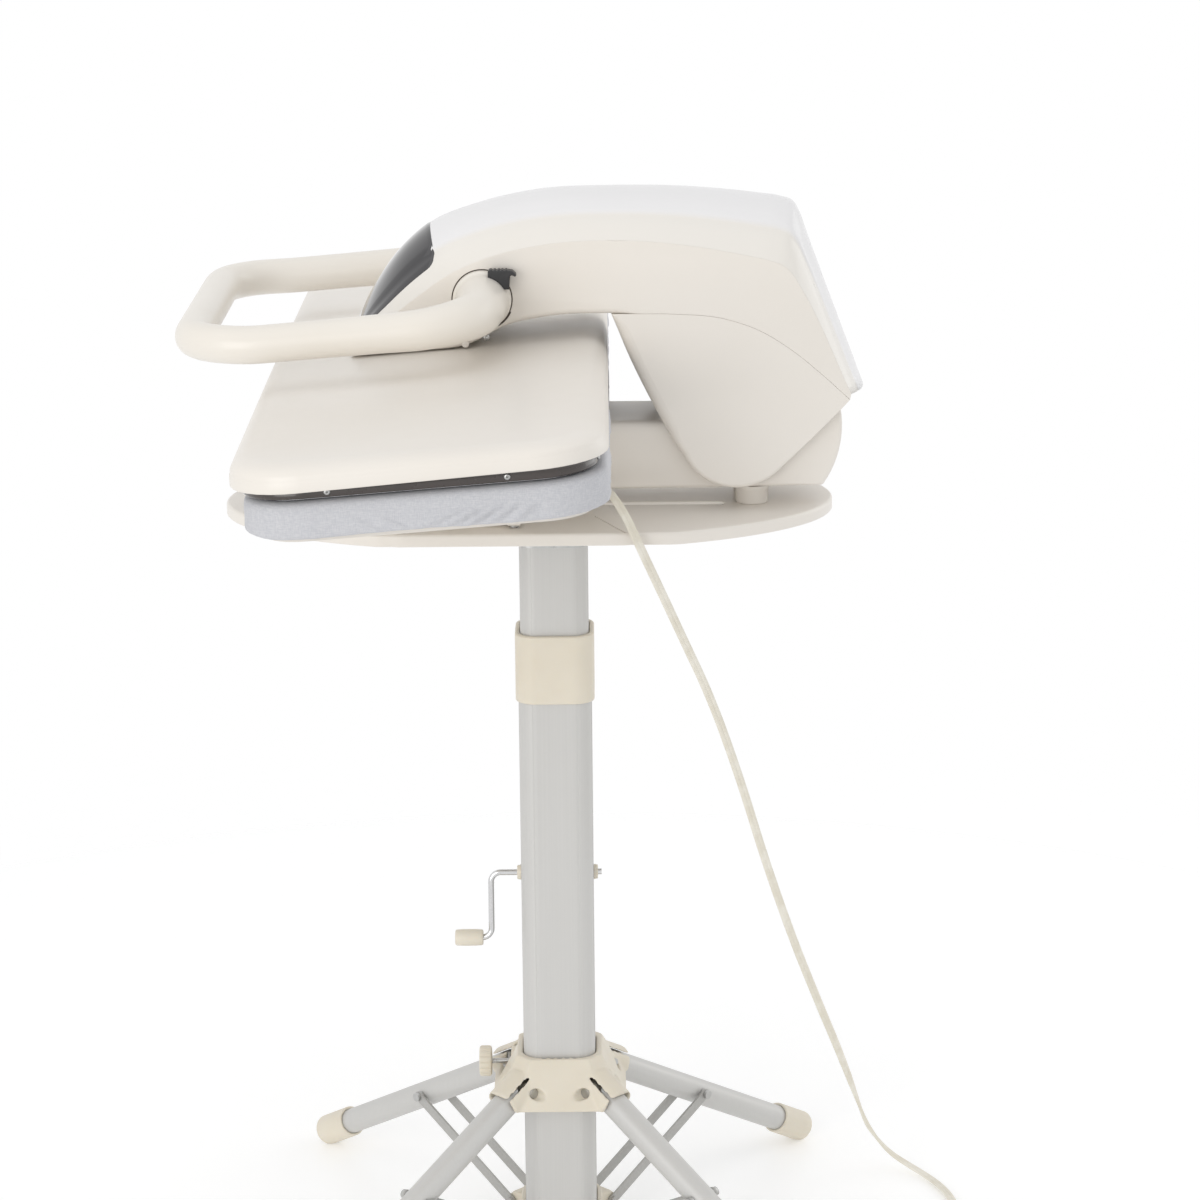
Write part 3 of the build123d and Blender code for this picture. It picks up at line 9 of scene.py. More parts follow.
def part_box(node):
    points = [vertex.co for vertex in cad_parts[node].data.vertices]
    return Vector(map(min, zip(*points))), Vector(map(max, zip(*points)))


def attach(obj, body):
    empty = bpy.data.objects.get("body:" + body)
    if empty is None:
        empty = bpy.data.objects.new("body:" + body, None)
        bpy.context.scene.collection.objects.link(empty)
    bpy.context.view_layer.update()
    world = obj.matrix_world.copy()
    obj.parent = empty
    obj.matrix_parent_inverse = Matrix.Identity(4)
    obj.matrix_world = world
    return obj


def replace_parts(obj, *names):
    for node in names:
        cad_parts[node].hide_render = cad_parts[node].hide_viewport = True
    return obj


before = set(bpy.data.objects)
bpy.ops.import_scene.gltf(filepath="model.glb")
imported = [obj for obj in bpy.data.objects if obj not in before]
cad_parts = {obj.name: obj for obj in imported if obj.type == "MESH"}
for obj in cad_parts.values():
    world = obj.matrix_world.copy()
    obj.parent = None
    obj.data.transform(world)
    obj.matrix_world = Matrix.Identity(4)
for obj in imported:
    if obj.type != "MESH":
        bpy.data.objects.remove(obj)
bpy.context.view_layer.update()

# The press stands with its column on this axis: the person at -Y, the platen's long side along X.
column_low, column_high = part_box("column_outer_tube")
column_y = (column_low.y + column_high.y) / 2


# Camera: a long lens at the press's right side, level with the top of the arm and turned down a
# little. Its place and turn were worked out from the column's edges and the platen's corners.
def in_scene(name, data):
    """A new object in the scene for a mesh, a lamp or other data."""
    made = bpy.data.objects.new(name, data)
    bpy.context.scene.collection.objects.link(made)
    return made


camera_place = (2.91097, column_y + 0.04292, 1.32225)
pitch, heading, roll = (math.radians(angle) for angle in (14.63, -0.11, -0.53))
forward = Vector((-math.cos(pitch) * math.cos(heading), math.cos(pitch) * math.sin(heading), -math.sin(pitch)))
level = Vector((math.sin(heading), math.cos(heading), 0.0))
upright = level.cross(forward)
to_right = math.cos(roll) * level + math.sin(roll) * upright
to_top = math.cos(roll) * upright - math.sin(roll) * level

camera = in_scene("camera", bpy.data.cameras.new("camera"))
bpy.context.scene.camera = camera
camera.data.sensor_width = 36.0
camera.data.lens = 110.58
camera.data.clip_end = 40.0
view_turn = Matrix((to_right, to_top, -forward)).transposed().to_4x4()
camera.matrix_world = Matrix.Translation(camera_place) @ view_turn

# Light: a bright white room. One wide soft lamp above, a weaker one on the camera's side and a
# faint one on the far side. The floor and the air are white where the camera or a gloss sees them.
bpy.context.scene.view_settings.view_transform = "Standard"
for name, place, target, size, power, colour in (
        ("lamp_above", (0.3, -0.2, 2.6), (0.0, 0.0, 0.5), 2.4, 5.0, (0.985, 0.985, 1.0)),
        ("lamp_near", (2.8, -1.6, 1.2), (0.0, 0.0, 0.6), 2.0, 31.0, (1.0, 0.985, 0.96)),
        ("lamp_back", (-1.2, 2.6, 1.4), (0.0, 0.0, 0.6), 2.0, 12.0, (1.0, 0.99, 0.97))):
    lamp = in_scene(name, bpy.data.lights.new(name, "AREA"))
    lamp.data.size = size
    lamp.data.energy = power
    lamp.data.color = colour
    turn = (Vector(target) - Vector(place)).to_track_quat("-Z", "Y").to_matrix().to_4x4()
    lamp.matrix_world = Matrix.Translation(place) @ turn

world = bpy.data.worlds.new("white_room")
bpy.context.scene.world = world
world.use_nodes = True
room = world.node_tree
room.nodes.clear()
ray, through, seen, bounced, white, mixed, out = (room.nodes.new("ShaderNode" + kind) for kind in (
    "LightPath", "Math", "Math", "Background", "Background", "MixShader", "OutputWorld"))
through.operation = seen.operation = "MAXIMUM"
for source, goal in (
        (ray.outputs["Is Glossy Ray"], through.inputs[0]),
        (ray.outputs["Is Transmission Ray"], through.inputs[1]),
        (ray.outputs["Is Camera Ray"], seen.inputs[0]), (through.outputs[0], seen.inputs[1]),
        (seen.outputs[0], mixed.inputs[0]), (bounced.outputs[0], mixed.inputs[1]),
        (white.outputs[0], mixed.inputs[2]), (mixed.outputs[0], out.inputs["Surface"])):
    room.links.new(source, goal)
for air, colour, strength in ((bounced, (0.96, 0.965, 0.97, 1.0), 0.79), (white, (1.0, 1.0, 1.0, 1.0), 1.0)):
    air.inputs["Color"].default_value = colour
    air.inputs["Strength"].default_value = strength


# Finishes: a finish is one material. Its wires carry the patterns, and sums and products of
# wires and numbers add the Math nodes.
class Wire:
    """One output of a finish's nodes."""

    def __init__(self, finish, socket):
        self.finish = finish
        self.socket = socket

    def math(self, operation, *values):
        return self.finish.node("ShaderNodeMath", {"operation": operation}, dict(enumerate(values)))

    def __add__(self, other):
        return self.math("ADD", self, other)

    def __sub__(self, other):
        return self.math("SUBTRACT", self, other)

    def __rsub__(self, other):
        return self.math("SUBTRACT", other, self)

    def __mul__(self, other):
        return self.math("MULTIPLY", self, other)

    def __abs__(self):
        return self.math("ABSOLUTE", self)

    def sine(self):
        return self.math("SINE", self)

    __radd__ = __add__
    __rmul__ = __mul__


class Finish:
    """A material with one Principled shader; node() adds any other node and returns its output."""

    def __init__(self, name, colour, roughness, **settings):
        self.material = bpy.data.materials.new(name)
        self.material.use_nodes = True
        self.tree = self.material.node_tree
        self.shader = next(n for n in self.tree.nodes if n.type == "BSDF_PRINCIPLED")
        self.set(Base_Color=linear(colour), Roughness=roughness, **settings)

    def node(self, kind, settings, sockets, output=0):
        made = self.tree.nodes.new(kind)
        for name, value in settings.items():
            setattr(made, name, value)
        for name, value in sockets.items():
            self.feed(made.inputs[name], value)
        return Wire(self, made.outputs[output])

    def feed(self, socket, value):
        if isinstance(value, Wire):
            self.tree.links.new(value.socket, socket)
        else:
            socket.default_value = value

    def set(self, **values):
        for name, value in values.items():
            self.feed(self.shader.inputs[name.replace("_", " ")], value)

    def place(self):
        return self.node("ShaderNodeTexCoord", {}, {}, "Object")

    def axis(self, index):
        """The place along one axis, in metres."""
        return self.node("ShaderNodeSeparateXYZ", {}, {0: self.place()}, index)

    def noise(self, scale, detail=2.0, stretch=None):
        """Noise from 0 to 1 over the piece, in grains of 1/scale metres, stretched along some axes."""
        where = self.place()
        if stretch:
            where = self.node("ShaderNodeMapping", {}, {"Vector": where, "Scale": stretch})
        return self.node("ShaderNodeTexNoise", {}, {"Vector": where, "Scale": scale, "Detail": detail})

    def ramp(self, wire, low, high):
        """0 below low, 1 above high."""
        return self.node("ShaderNodeMapRange", {"interpolation_type": "SMOOTHSTEP"},
                         {"Value": wire, "From Min": low, "From Max": high})

    def mix(self, share, low, high):
        """A colour between two, by a share."""
        low, high = (colour if isinstance(colour, Wire) else linear(colour) for colour in (low, high))
        return self.node("ShaderNodeMix", {"data_type": "RGBA"}, {0: share, 6: low, 7: high}, 2)

    def dress(self, share, low, high, roughness, relief, distance, strength=0.5):
        """A colour between low and high, a roughness, and a bump that follows a relief."""
        bump = self.node("ShaderNodeBump", {}, {"Height": relief, "Distance": distance, "Strength": strength})
        self.set(Base_Color=self.mix(share, low, high), Roughness=roughness, Normal=bump)

    def cover(self, *nodes):
        """This finish on CAD nodes, whose shapes stay as they are."""
        for name in nodes:
            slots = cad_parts[name].data.materials
            slots.clear()
            slots.append(self.material)


def linear(colour):
    """An sRGB colour of 0 to 255, none of it near black, made linear and opaque."""
    return (*(((value / 255 + 0.055) / 1.055) ** 2.4 for value in colour), 1.0)


# Mains cord: a flat two-core lead in ivory sheath, 2.45 m long, that leaves the housing beside the
# board, hangs across the column to the floor and runs on under its own weight. Its end is wound
# into a coil of two layers beside the stand, with the plug after it.
cord_width, cord_thickness = 0.007, 0.0032
cord_rest = 0.0034
cord_exit = (0.030, 0.672)
cord_route = [
    (0.058, *cord_exit), (0.071, *cord_exit), (0.090, 0.036, 0.6785), (0.110, 0.045, 0.680),
    (0.133, 0.0585, 0.664), (0.1415, 0.0695, 0.640), (0.133, 0.085, 0.604), (0.112, 0.1015, 0.562),
    (0.078, 0.126, 0.500), (0.042, 0.1505, 0.421), (0.008, 0.172, 0.341), (-0.030, 0.1975, 0.257),
    (-0.063, 0.222, 0.186), (-0.093, 0.241, 0.132), (-0.115, 0.2565, 0.085), (-0.131, 0.268, 0.048),
    (-0.1405, 0.277, 0.031), (-0.141, 0.290, 0.015), (-0.1335, 0.306, 0.0065), (-0.117, 0.320, 0.0036),
    (-0.095, 0.331, cord_rest), (-0.067, 0.339, cord_rest), (-0.025, 0.342, cord_rest),
    (0.022, 0.340, cord_rest), (0.068, 0.340, cord_rest)]
coil_x, coil_y = 0.0754, 0.280
coil_pitch = 0.0071
coil_halves, coil_corners = 8, 8

# half turns that wind inwards on the floor and, from the fifth on, outwards in a second layer
controls = list(cord_route)
out = half_radius = 0.060
for half in range(coil_halves):
    facing = 1 if half % 2 == 0 else -1
    centre = out - facing * half_radius
    for corner in range(coil_corners):
        angle = math.pi * (corner + 0.5) / coil_corners
        grown = facing * half_radius / math.cos(math.pi / 2 / coil_corners)
        climb = 0 if half < 4 else (corner + 0.5) / coil_corners if half == 4 else 1
        climb = climb * climb * (3 - 2 * climb)
        controls.append((coil_x + grown * math.sin(angle), coil_y + centre + grown * math.cos(angle),
                         cord_rest + coil_pitch * climb))
    out -= 2 * facing * half_radius
    half_radius += -coil_pitch / 2 if half < 4 else coil_pitch / 2
controls += [(coil_x + along, coil_y + out, cord_rest + coil_pitch) for along in (0.012, 0.050)]

line = bpy.data.curves.new("cord_line", "CURVE")
line.dimensions = "3D"
line.resolution_u = 10
spline = line.splines.new("NURBS")
spline.points.add(len(controls) - 1)
for point, (x, y, z) in zip(spline.points, controls):
    point.co = (x, y + column_y, z, 1.0)
spline.order_u = 3
spline.use_endpoint_u = True
line_object = in_scene("cord_line", line)
line_mesh = bpy.data.meshes.new_from_object(line_object)
cord_path = np.array([vertex.co for vertex in line_mesh.vertices])
bpy.data.objects.remove(line_object)
bpy.data.meshes.remove(line_mesh)


def lengths(path):
    """How far along a line each of its points lies."""
    return np.concatenate([[0.0], np.cumsum(np.linalg.norm(np.diff(path, axis=0), axis=1))])


def points_at(path, wanted):
    """Points at the wanted distances along a line."""
    return np.stack([np.interp(wanted, lengths(path), path[:, axis]) for axis in range(3)], axis=1)


def unit(vectors):
    return vectors / np.linalg.norm(vectors, axis=-1, keepdims=True)


def angles(count):
    """Even turns round a circle."""
    return [2 * math.pi * step / count for step in range(count)]


def squared(value, power):
    """A sine or cosine for a circle that is drawn out towards a square by a power below 1."""
    return math.copysign(abs(value) ** power, value)


def swept(path, ups, section):
    """Rings of a section (across, up) carried along a path, with up near the given directions. The
    section is one list for the whole path, or one list for each of its points."""
    tangents = unit(np.gradient(path, axis=0))
    across = unit(np.cross(tangents, ups))
    ups = np.cross(across, tangents)
    section = np.asarray(section, float)
    if section.ndim == 2:
        section = np.repeat(section[None], len(path), axis=0)
    return path[:, None] + section[:, :, :1] * across[:, None] + section[:, :, 1:] * ups[:, None]


def quads(rows, wide, ringed=False, first=0):
    """Quads between rows of points, closed round where the rows are rings."""
    across = wide if ringed else wide - 1
    return [(low + i, low + (i + 1) % wide, low + wide + (i + 1) % wide, low + wide + i)
            for low in range(first, first + (rows - 1) * wide, wide) for i in range(across)]


def skin(rings, ends="fans"):
    """Points and quads over rings, closed by fans or flat faces, or in a loop from last to first."""
    rings = np.asarray(rings)
    count, around = rings.shape[:2]
    points, faces = rings.reshape(-1, 3).tolist(), quads(count, around, True)
    last = (count - 1) * around
    if ends == "flat":
        faces += [tuple(range(around)), tuple(reversed(range(last, last + around)))]
    elif ends == "loop":
        faces += [(last + i, last + (i + 1) % around, (i + 1) % around, i) for i in range(around)]
    else:
        for low, turned_over in ((0, True), (last, False)):
            middle = len(points)
            points.append(np.mean(points[low:low + around], axis=0).tolist())
            for i in range(around):
                pair = (low + i, low + (i + 1) % around)
                faces.append((*(pair[::-1] if turned_over else pair), middle))
    return points, faces


def outwards(mesh):
    """Merges doubles and turns the faces of a closed mesh outwards."""
    work = bmesh.new()
    work.from_mesh(mesh)
    bmesh.ops.remove_doubles(work, verts=work.verts, dist=1e-6)
    bmesh.ops.recalc_face_normals(work, faces=work.faces)
    work.to_mesh(mesh)
    work.free()


def mesh_of(name, points, faces):
    mesh = bpy.data.meshes.new(name)
    mesh.from_pydata([tuple(point) for point in points], [], faces)
    mesh.validate()
    return mesh


def smoothed(mesh, edge_angle):
    """Smooth shading, with sharp edges from an angle on."""
    mesh.shade_smooth()
    mesh.set_sharp_from_angle(angle=math.radians(edge_angle))


def add_piece(name, mesh, body, finish, edge_angle=35.0):
    """An object for a finished mesh, riding on a body."""
    piece = in_scene(name, mesh)
    mesh.materials.clear()
    mesh.materials.append(finish.material)
    smoothed(mesh, edge_angle)
    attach(piece, body)
    return piece


def add_closed(name, shape, body, finish, edge_angle=35.0):
    """A closed piece of points and faces, riding on a body, with its faces outwards."""
    piece = add_piece(name, mesh_of(name, *shape), body, finish, edge_angle)
    outwards(piece.data)
    return piece


cord_length = lengths(cord_path)[-1]
cord_path = points_at(cord_path, np.linspace(0.0, cord_length, round(cord_length / 0.004) + 1))
# the lead's flat side faces the room while it hangs, and up where it lies and where it leaves
height_share = np.clip((cord_path[:, 2] - 0.02) / 0.16, 0, 1)
leaving = np.clip(1 - np.arange(len(cord_path)) / 26, 0, 1)
flatness = np.clip(1 - height_share + leaving, 0, 1)[:, None]
cord_ups = unit(flatness * np.array([0.0, 0.0, 1.0]) + (1 - flatness) * np.array([0.95, 0.30, 0.10]))
cord_section = []
for angle in angles(28):
    across = cord_width / 2 * math.cos(angle)
    groove = 1.0 - 0.30 * math.exp(-(across / 0.0007) ** 2)
    cord_section.append((across, squared(math.sin(angle), 0.55) * cord_thickness / 2 * groove))

sheath = Finish("cord_sheath", (232, 227, 214), 0.42)
grain = sheath.noise(70.0, 3.0)
sheath.dress(sheath.ramp(grain, 0.3, 0.75), (224, 218, 203), (236, 232, 221),
             0.36 + grain * 0.14, sheath.noise(900.0), 0.00008)
cord = add_closed("power_lead", skin(swept(cord_path, cord_ups, cord_section)), "upper", sheath)

# Strain relief: an ivory rubber sleeve pushed over the lead, with a flange against the housing
# and grooves that let it bend.


def turned(profile, place, axis, around=40):
    """Rings of a turned shape: (along, radius) pairs about an axis that starts at a place."""
    axis = Vector(axis).normalized()
    side = axis.orthogonal().normalized()
    other = axis.cross(side)
    return np.array([[Vector(place) + axis * along + radius * (math.cos(a) * side + math.sin(a) * other)
                      for a in angles(around)] for along, radius in profile])


relief_profile = [(-0.0005, 0.0002), (-0.0005, 0.0066), (0.0, 0.0071), (0.0016, 0.0073), (0.0026, 0.0070),
                  (0.0030, 0.0058)]
for groove in range(6):
    start = 0.0044 + groove * 0.0034
    wide = 0.0057 - groove * 0.00026
    relief_profile += [(start, wide), (start + 0.0004, wide - 0.0011), (start + 0.0011, wide - 0.0011),
                       (start + 0.0015, wide)]
relief_profile += [(0.0255, 0.0043), (0.0262, 0.0040), (0.0262, 0.0002)]
relief_place = (0.0454, column_y + cord_exit[0], cord_exit[1])
relief_rings = turned(relief_profile, relief_place, (1, 0, 0.02))
relief = add_closed("cord_relief", skin(relief_rings), "upper", sheath, 50)
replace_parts(relief, "cord_gland")

# Plug: a moulded two-pin body with a narrow waist for the fingers, and plated pins.
plug_low, plug_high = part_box("mains_plug")
plug_middle = (plug_low + plug_high) / 2
plug_rings = []
for along, half_width, half_height in (
        (0.0, 0.0042, 0.0042), (0.004, 0.0047, 0.0047), (0.010, 0.0052, 0.0052), (0.0122, 0.0072, 0.0068),
        (0.0145, 0.0104, 0.0086), (0.020, 0.0123, 0.0095), (0.027, 0.0116, 0.0086), (0.034, 0.0112, 0.0083),
        (0.041, 0.0122, 0.0091), (0.0455, 0.0134, 0.0100), (0.0500, 0.0135, 0.01015),
        (0.0514, 0.0131, 0.0098), (0.0520, 0.0122, 0.0090)):
    power = 2 / (2 + 2.4 * min(1.0, along / 0.02))
    plug_rings.append([(plug_low.x + along, plug_middle.y + half_width * squared(math.cos(angle), power),
                        plug_middle.z + half_height * squared(math.sin(angle), power)) for angle in angles(48)])
plug = add_closed("plug_body", skin(plug_rings), "upper", sheath, 55)
finer = plug.modifiers.new("finer", "SUBSURF")
finer.levels = finer.render_levels = 1
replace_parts(plug, "mains_plug")

brass = Finish("plug_pins", (214, 196, 148), 0.24, Metallic=1.0)
brass.set(Roughness=0.16 + brass.noise(400.0, 3.0, (0.08, 1.0, 1.0)) * 0.22)
brass.cover("plug_pins")

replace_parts(cord, "power_cord", "cord_coil")
float(lengths(cord_path)[-1])

# Floor: a white studio floor that fades into the white air. It only takes the object's shadow.
floor_corners = [(x, y, 0.0) for x, y in ((-6, -6), (6, -6), (6, 6), (-6, 6))]
studio_floor = in_scene("studio_floor", mesh_of("studio_floor", floor_corners, [(0, 1, 2, 3)]))
ground = Finish("studio_floor", (238.6, 238.6, 238.6), 0.42, Emission_Strength=0.22)
distance = ground.node("ShaderNodeVectorMath", {"operation": "LENGTH"}, {0: ground.place()}, 1)
ground.set(Alpha=1.0 - ground.ramp(distance, 0.55, 1.5),
           Emission_Color=ground.mix(ground.noise(2.0), (251.6, 252.2, 252.7), (255, 255, 255)))
studio_floor.data.materials.append(ground.material)

# Column: two nested aluminium extrusions with grooved faces and a satin silver coating. Shallow
# lines from the extruding run up the faces. The other bare metal of the stand has its own finishes.


def beside(x, y, z):
    """A point in metres from millimetres about the column's axis."""
    return (x / 1000, y / 1000 + column_y, z / 1000)


silver = Finish("silver_coat", (203, 202, 199), 0.40, Metallic=0.25)
lines = silver.noise(900.0, 2.0, (1.0, 1.0, 0.004))
clouds = silver.noise(9.0, 3.0, (1.0, 1.0, 0.35))
silver.dress(0.35 * lines + 0.5 * clouds, (192, 191, 188), (211, 210, 208),
             0.30 + lines * 0.16 + clouds * 0.06, lines + silver.noise(2600.0, 1.0) * 0.3, 0.00004, 0.6)
silver.cover("column_outer_tube", "column_inner_tube", "leg_tube_1", "leg_tube_2", "leg_tube_3", "leg_tube_4")

zinc = Finish("plated_steel", (188, 188, 186), 0.30, Metallic=1.0)
blotches = zinc.noise(160.0, 4.0)
zinc.dress(blotches, (165, 165, 163), (206, 206, 205), 0.20 + blotches * 0.22, zinc.noise(1500.0), 0.00003)
zinc.cover("crank_pinion", "height_rack", "table_bracket", "table_screws", "hub_pivot_screws", "clamp_screw",
           "leg_pins_1", "leg_pins_2", "leg_pins_3", "leg_pins_4", "hinge_shaft_springs", "head_bracket",
           "steam_pump", "heating_element")

chrome = Finish("chromed_rod", (214, 214, 214), 0.12, Metallic=1.0)
drawn = chrome.noise(700.0)
chrome.dress(drawn, (198, 198, 199), (222, 222, 222), 0.08 + drawn * 0.10, drawn, 0.00001, 0.4)
chrome.cover("crank_rod")

strip = Finish("brace_steel", (177, 176, 172), 0.42, Metallic=0.35)
rolled = strip.noise(500.0, 3.0)
strip.dress(rolled, (165, 164, 161), (188, 187, 184), 0.34 + rolled * 0.2, strip.noise(1400.0), 0.00004, 0.6)
strip.cover("brace_1", "brace_2", "brace_3", "brace_4")

# Cream fittings: the sleeve, the end cap, the leg hub, the lower collar, the bushes and the foot
# caps are moulded in a warm cream nylon, so their edges are soft and their walls flow together.


def shaped(maker):
    """The plain mesh that an object's modifiers make."""
    return bpy.data.meshes.new_from_object(maker.evaluated_get(bpy.context.evaluated_depsgraph_get()))


def softened(node, voxel, rounds, body, finish):
    """A copy of a CAD node with its walls melted together and its edges softened."""
    name = "soft_" + node
    rough = bpy.data.meshes.new(name + "_rough")
    work = bmesh.new()
    work.from_mesh(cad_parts[node].data)
    bmesh.ops.remove_doubles(work, verts=work.verts, dist=1e-6)
    work.to_mesh(rough)
    work.free()
    maker = in_scene(name + "_maker", rough)
    voxels = maker.modifiers.new("voxels", "REMESH")
    voxels.mode = "VOXEL"
    voxels.voxel_size = voxel
    relax = maker.modifiers.new("relax", "SMOOTH")
    relax.factor = 0.5
    relax.iterations = rounds
    melted = shaped(maker)
    melted.name = name
    bpy.data.objects.remove(maker)
    bpy.data.meshes.remove(rough)
    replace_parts(add_piece(name, melted, body, finish, 60), node)


cream = Finish("cream_nylon", (221, 213, 196), 0.44, Subsurface_Weight=0.08,
               Subsurface_Radius=(0.002, 0.0014, 0.0008))
cream.dress(cream.noise(26.0, 3.0), (215, 206, 188), (227, 220, 205),
            0.36 + cream.noise(120.0, 3.0) * 0.16, cream.noise(1700.0), 0.00007)
softened("leg_hub", 0.0011, 5, "hub", cream)
for node, voxel, rounds in (("column_collar", 0.0008, 3), ("lower_collar", 0.0010, 3),
                            ("column_end_plug", 0.0010, 2), ("crank_bushes", 0.0005, 3)):
    softened(node, voxel, rounds, "stand", cream)

# Foot caps: turned-looking nylon cups pushed over the leg ends, with a rolled lip, a long taper
# to a domed toe, and a flat worn where the toe stands.
for number in "1234":
    softened("foot_cap_" + number, 0.0008, 5, "leg_" + number, cream)

# Clamp knob: a cream star knob with fourteen ribs round its rim and a sunk middle, on a steel screw.
knob_x, knob_z = -16.5, 155.0
knob_rings = []
for along, base, rib in (
        (57.8, 4.0, 0.0), (57.8, 9.0, 0.0), (57.9, 11.0, 0.1), (58.6, 12.1, 0.9), (60.0, 12.5, 1.0),
        (66.0, 12.5, 1.0), (67.6, 12.1, 0.9), (68.4, 10.9, 0.2), (68.45, 9.6, 0.0), (67.7, 8.6, 0.0),
        (67.5, 6.0, 0.0), (67.9, 4.0, 0.0), (68.2, 1.5, 0.0)):
    radii = [(base + rib * (abs(math.cos(7 * angle)) ** 0.6 - 0.35), angle) for angle in angles(168)]
    knob_rings.append([beside(knob_x + radius * math.cos(angle), -along, knob_z + radius * math.sin(angle))
                       for radius, angle in radii])
knob = add_closed("star_knob", skin(knob_rings), "clamp", cream, 40)
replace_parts(knob, "clamp_knob")

# Crank grip: a cream nylon barrel that spins on the crank's end, a little fuller in its middle.
grip_low, grip_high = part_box("crank_knob")
grip_middle = (grip_low + grip_high) / 2
grip_profile = [(0.0, 0.0031), (0.0, 0.0052), (0.0003, 0.0061), (0.0012, 0.0066), (0.006, 0.00695),
                (0.0118, 0.0070), (0.0176, 0.00695), (0.0223, 0.0066), (0.0232, 0.0061), (0.0235, 0.0050),
                (0.0235, 0.0002)]
grip_rings = turned(grip_profile, (grip_middle.x, grip_high.y, grip_middle.z), (0, -1, 0), 48)
grip = add_closed("crank_grip_barrel", skin(grip_rings), "crank_grip", cream, 50)
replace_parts(grip, "crank_knob")

# Table plate: a moulded ivory oval with flattened sides and square ears, a rolled rim, a hollow
# underside, two slots for fixing knobs and a fine step behind the press.


def rounded_line(corners, turn=7.5):
    """A closed line through corners (a, b, radius), with an arc at each, as an array."""
    line = []
    for index, (a, b, radius) in enumerate(corners):
        here = np.array((a, b), float)
        before = np.array(corners[index - 1][:2], float) - here
        after = np.array(corners[(index + 1) % len(corners)][:2], float) - here
        reach = min(np.linalg.norm(before), np.linalg.norm(after)) * 0.48
        before, after = unit(before), unit(after)
        half = math.acos(float(np.clip(before @ after, -1, 1))) / 2
        if radius <= 0 or half > 1.55:
            line.append(here)
            continue
        reach = min(reach, radius / math.tan(half))
        radius = reach * math.tan(half)
        centre = here + unit(before + after) * radius / math.sin(half)
        start, end = here + before * reach - centre, here + after * reach - centre
        low = math.atan2(start[1], start[0])
        swing = (math.atan2(end[1], end[0]) - low + math.pi) % (2 * math.pi) - math.pi
        steps = max(2, int(abs(math.degrees(swing)) / turn))
        for step in range(steps + 1):
            angle = low + swing * step / steps
            line.append(centre + radius * np.array((math.cos(angle), math.sin(angle))))
    return np.array(line)


def inset_line(line, distance):
    """The closed line moved inwards by a distance, or by one distance for each point."""
    runs = unit(np.roll(line, -1, axis=0) - line)
    area = np.sum(line[:, 0] * np.roll(line[:, 1], -1) - line[:, 1] * np.roll(line[:, 0], -1))
    inner = np.stack([-runs[:, 1], runs[:, 0]], axis=1) * (1 if area > 0 else -1)
    before = np.roll(inner, 1, axis=0)
    both = (inner + before) / (1 + np.sum(inner * before, axis=1, keepdims=True)).clip(0.35)
    return line + both * np.broadcast_to(distance, len(line))[:, None]


def stacked(name, line, levels, place, body, finish, edge_angle=35.0):
    """A solid of copies of a closed line, each inset and lifted by its level, with flat ends."""
    line = np.array(line, float)
    rings = [[place(a, b, h) for (a, b), h in zip(inset_line(line, inset), np.broadcast_to(height, len(line)))]
             for inset, height in levels]
    return add_closed(name, skin(rings, "flat"), body, finish, edge_angle)


def cut_out(piece, cutters, edge_angle):
    """Takes cutters out of a piece and removes them."""
    for cutter in cutters:
        cut = piece.modifiers.new("cut", "BOOLEAN")
        cut.object = cutter
        cut.solver = "EXACT"
    done, old = shaped(piece), piece.data
    piece.modifiers.clear()
    done.name = old.name
    piece.data = done
    bpy.data.meshes.remove(old)
    for cutter in cutters:
        bpy.data.objects.remove(cutter)
    smoothed(piece.data, edge_angle)


ivory = Finish("ivory_moulding", (232, 227, 219), 0.36, Coat_Weight=0.12, Coat_Roughness=0.2)
ivory.dress(ivory.noise(7.0, 3.0), (229, 223, 214), (236, 231, 224), 0.30 + ivory.noise(60.0, 4.0) * 0.14,
            ivory.noise(1300.0) + 0.6 * ivory.noise(24.0), 0.00007, 0.45)

table_low, table_high, rim_radius = 640.0, 650.0, 2.6
oval = []
for angle in angles(240):
    across, along = 147.0 * math.cos(angle), 245.0 * math.sin(angle) - 19.0
    side = 131.0 if -120.0 < along < 59.0 else 129.5
    oval.append((max(-side, min(side, across)), along))
rim = [(rim_radius * (1 - math.cos(t)), table_high - rim_radius * (1 - math.sin(t)))
       for t in np.linspace(0, math.pi / 2, 7)]
table = stacked("table_plate", oval, [(3.0, 646.0), (3.0, 640.6), (2.4, table_low), (0.6, table_low),
                                      (0.0, 640.6)] + rim, beside, "upper", ivory, 40)
cutters = []
for side in (1, -1):
    slot = rounded_line([(side * 29 + a, b, 5) for a, b in ((-5, 28), (5, 28), (5, 138), (-5, 138))])
    cutters.append(stacked("slot_cutter", slot, [(0.0, 630.0), (0.0, 649.4), (-0.7, 650.1), (-0.9, 655.0)],
                           beside, "upper", ivory))
    step = [(side * a, b) for a, b in ((72, 33), (131.5, 58), (131.5, 59), (72, 34))]
    cutters.append(stacked("step_cutter", step, [(0.0, 649.4), (0.0, 652.0)], beside, "upper", ivory))
cut_out(table, cutters, 35)
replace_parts(table, "table_top")

# Press base: the ivory housing of the hinge, a narrow box whose deck sweeps up into a drum round
# the hinge, on two turned posts, with the hollow neck that carries the board.
hinge = np.array((147.0, 715.0))


def on_side(a, b, h):
    """A point of the side view, at a distance from the press's middle plane."""
    return beside(h, a, b)


def about(centre, radius, turns):
    """Points of the side view at a radius from a centre, at angles in degrees."""
    return [(centre[0] + radius * math.cos(math.radians(a)), centre[1] + radius * math.sin(math.radians(a)))
            for a in turns]


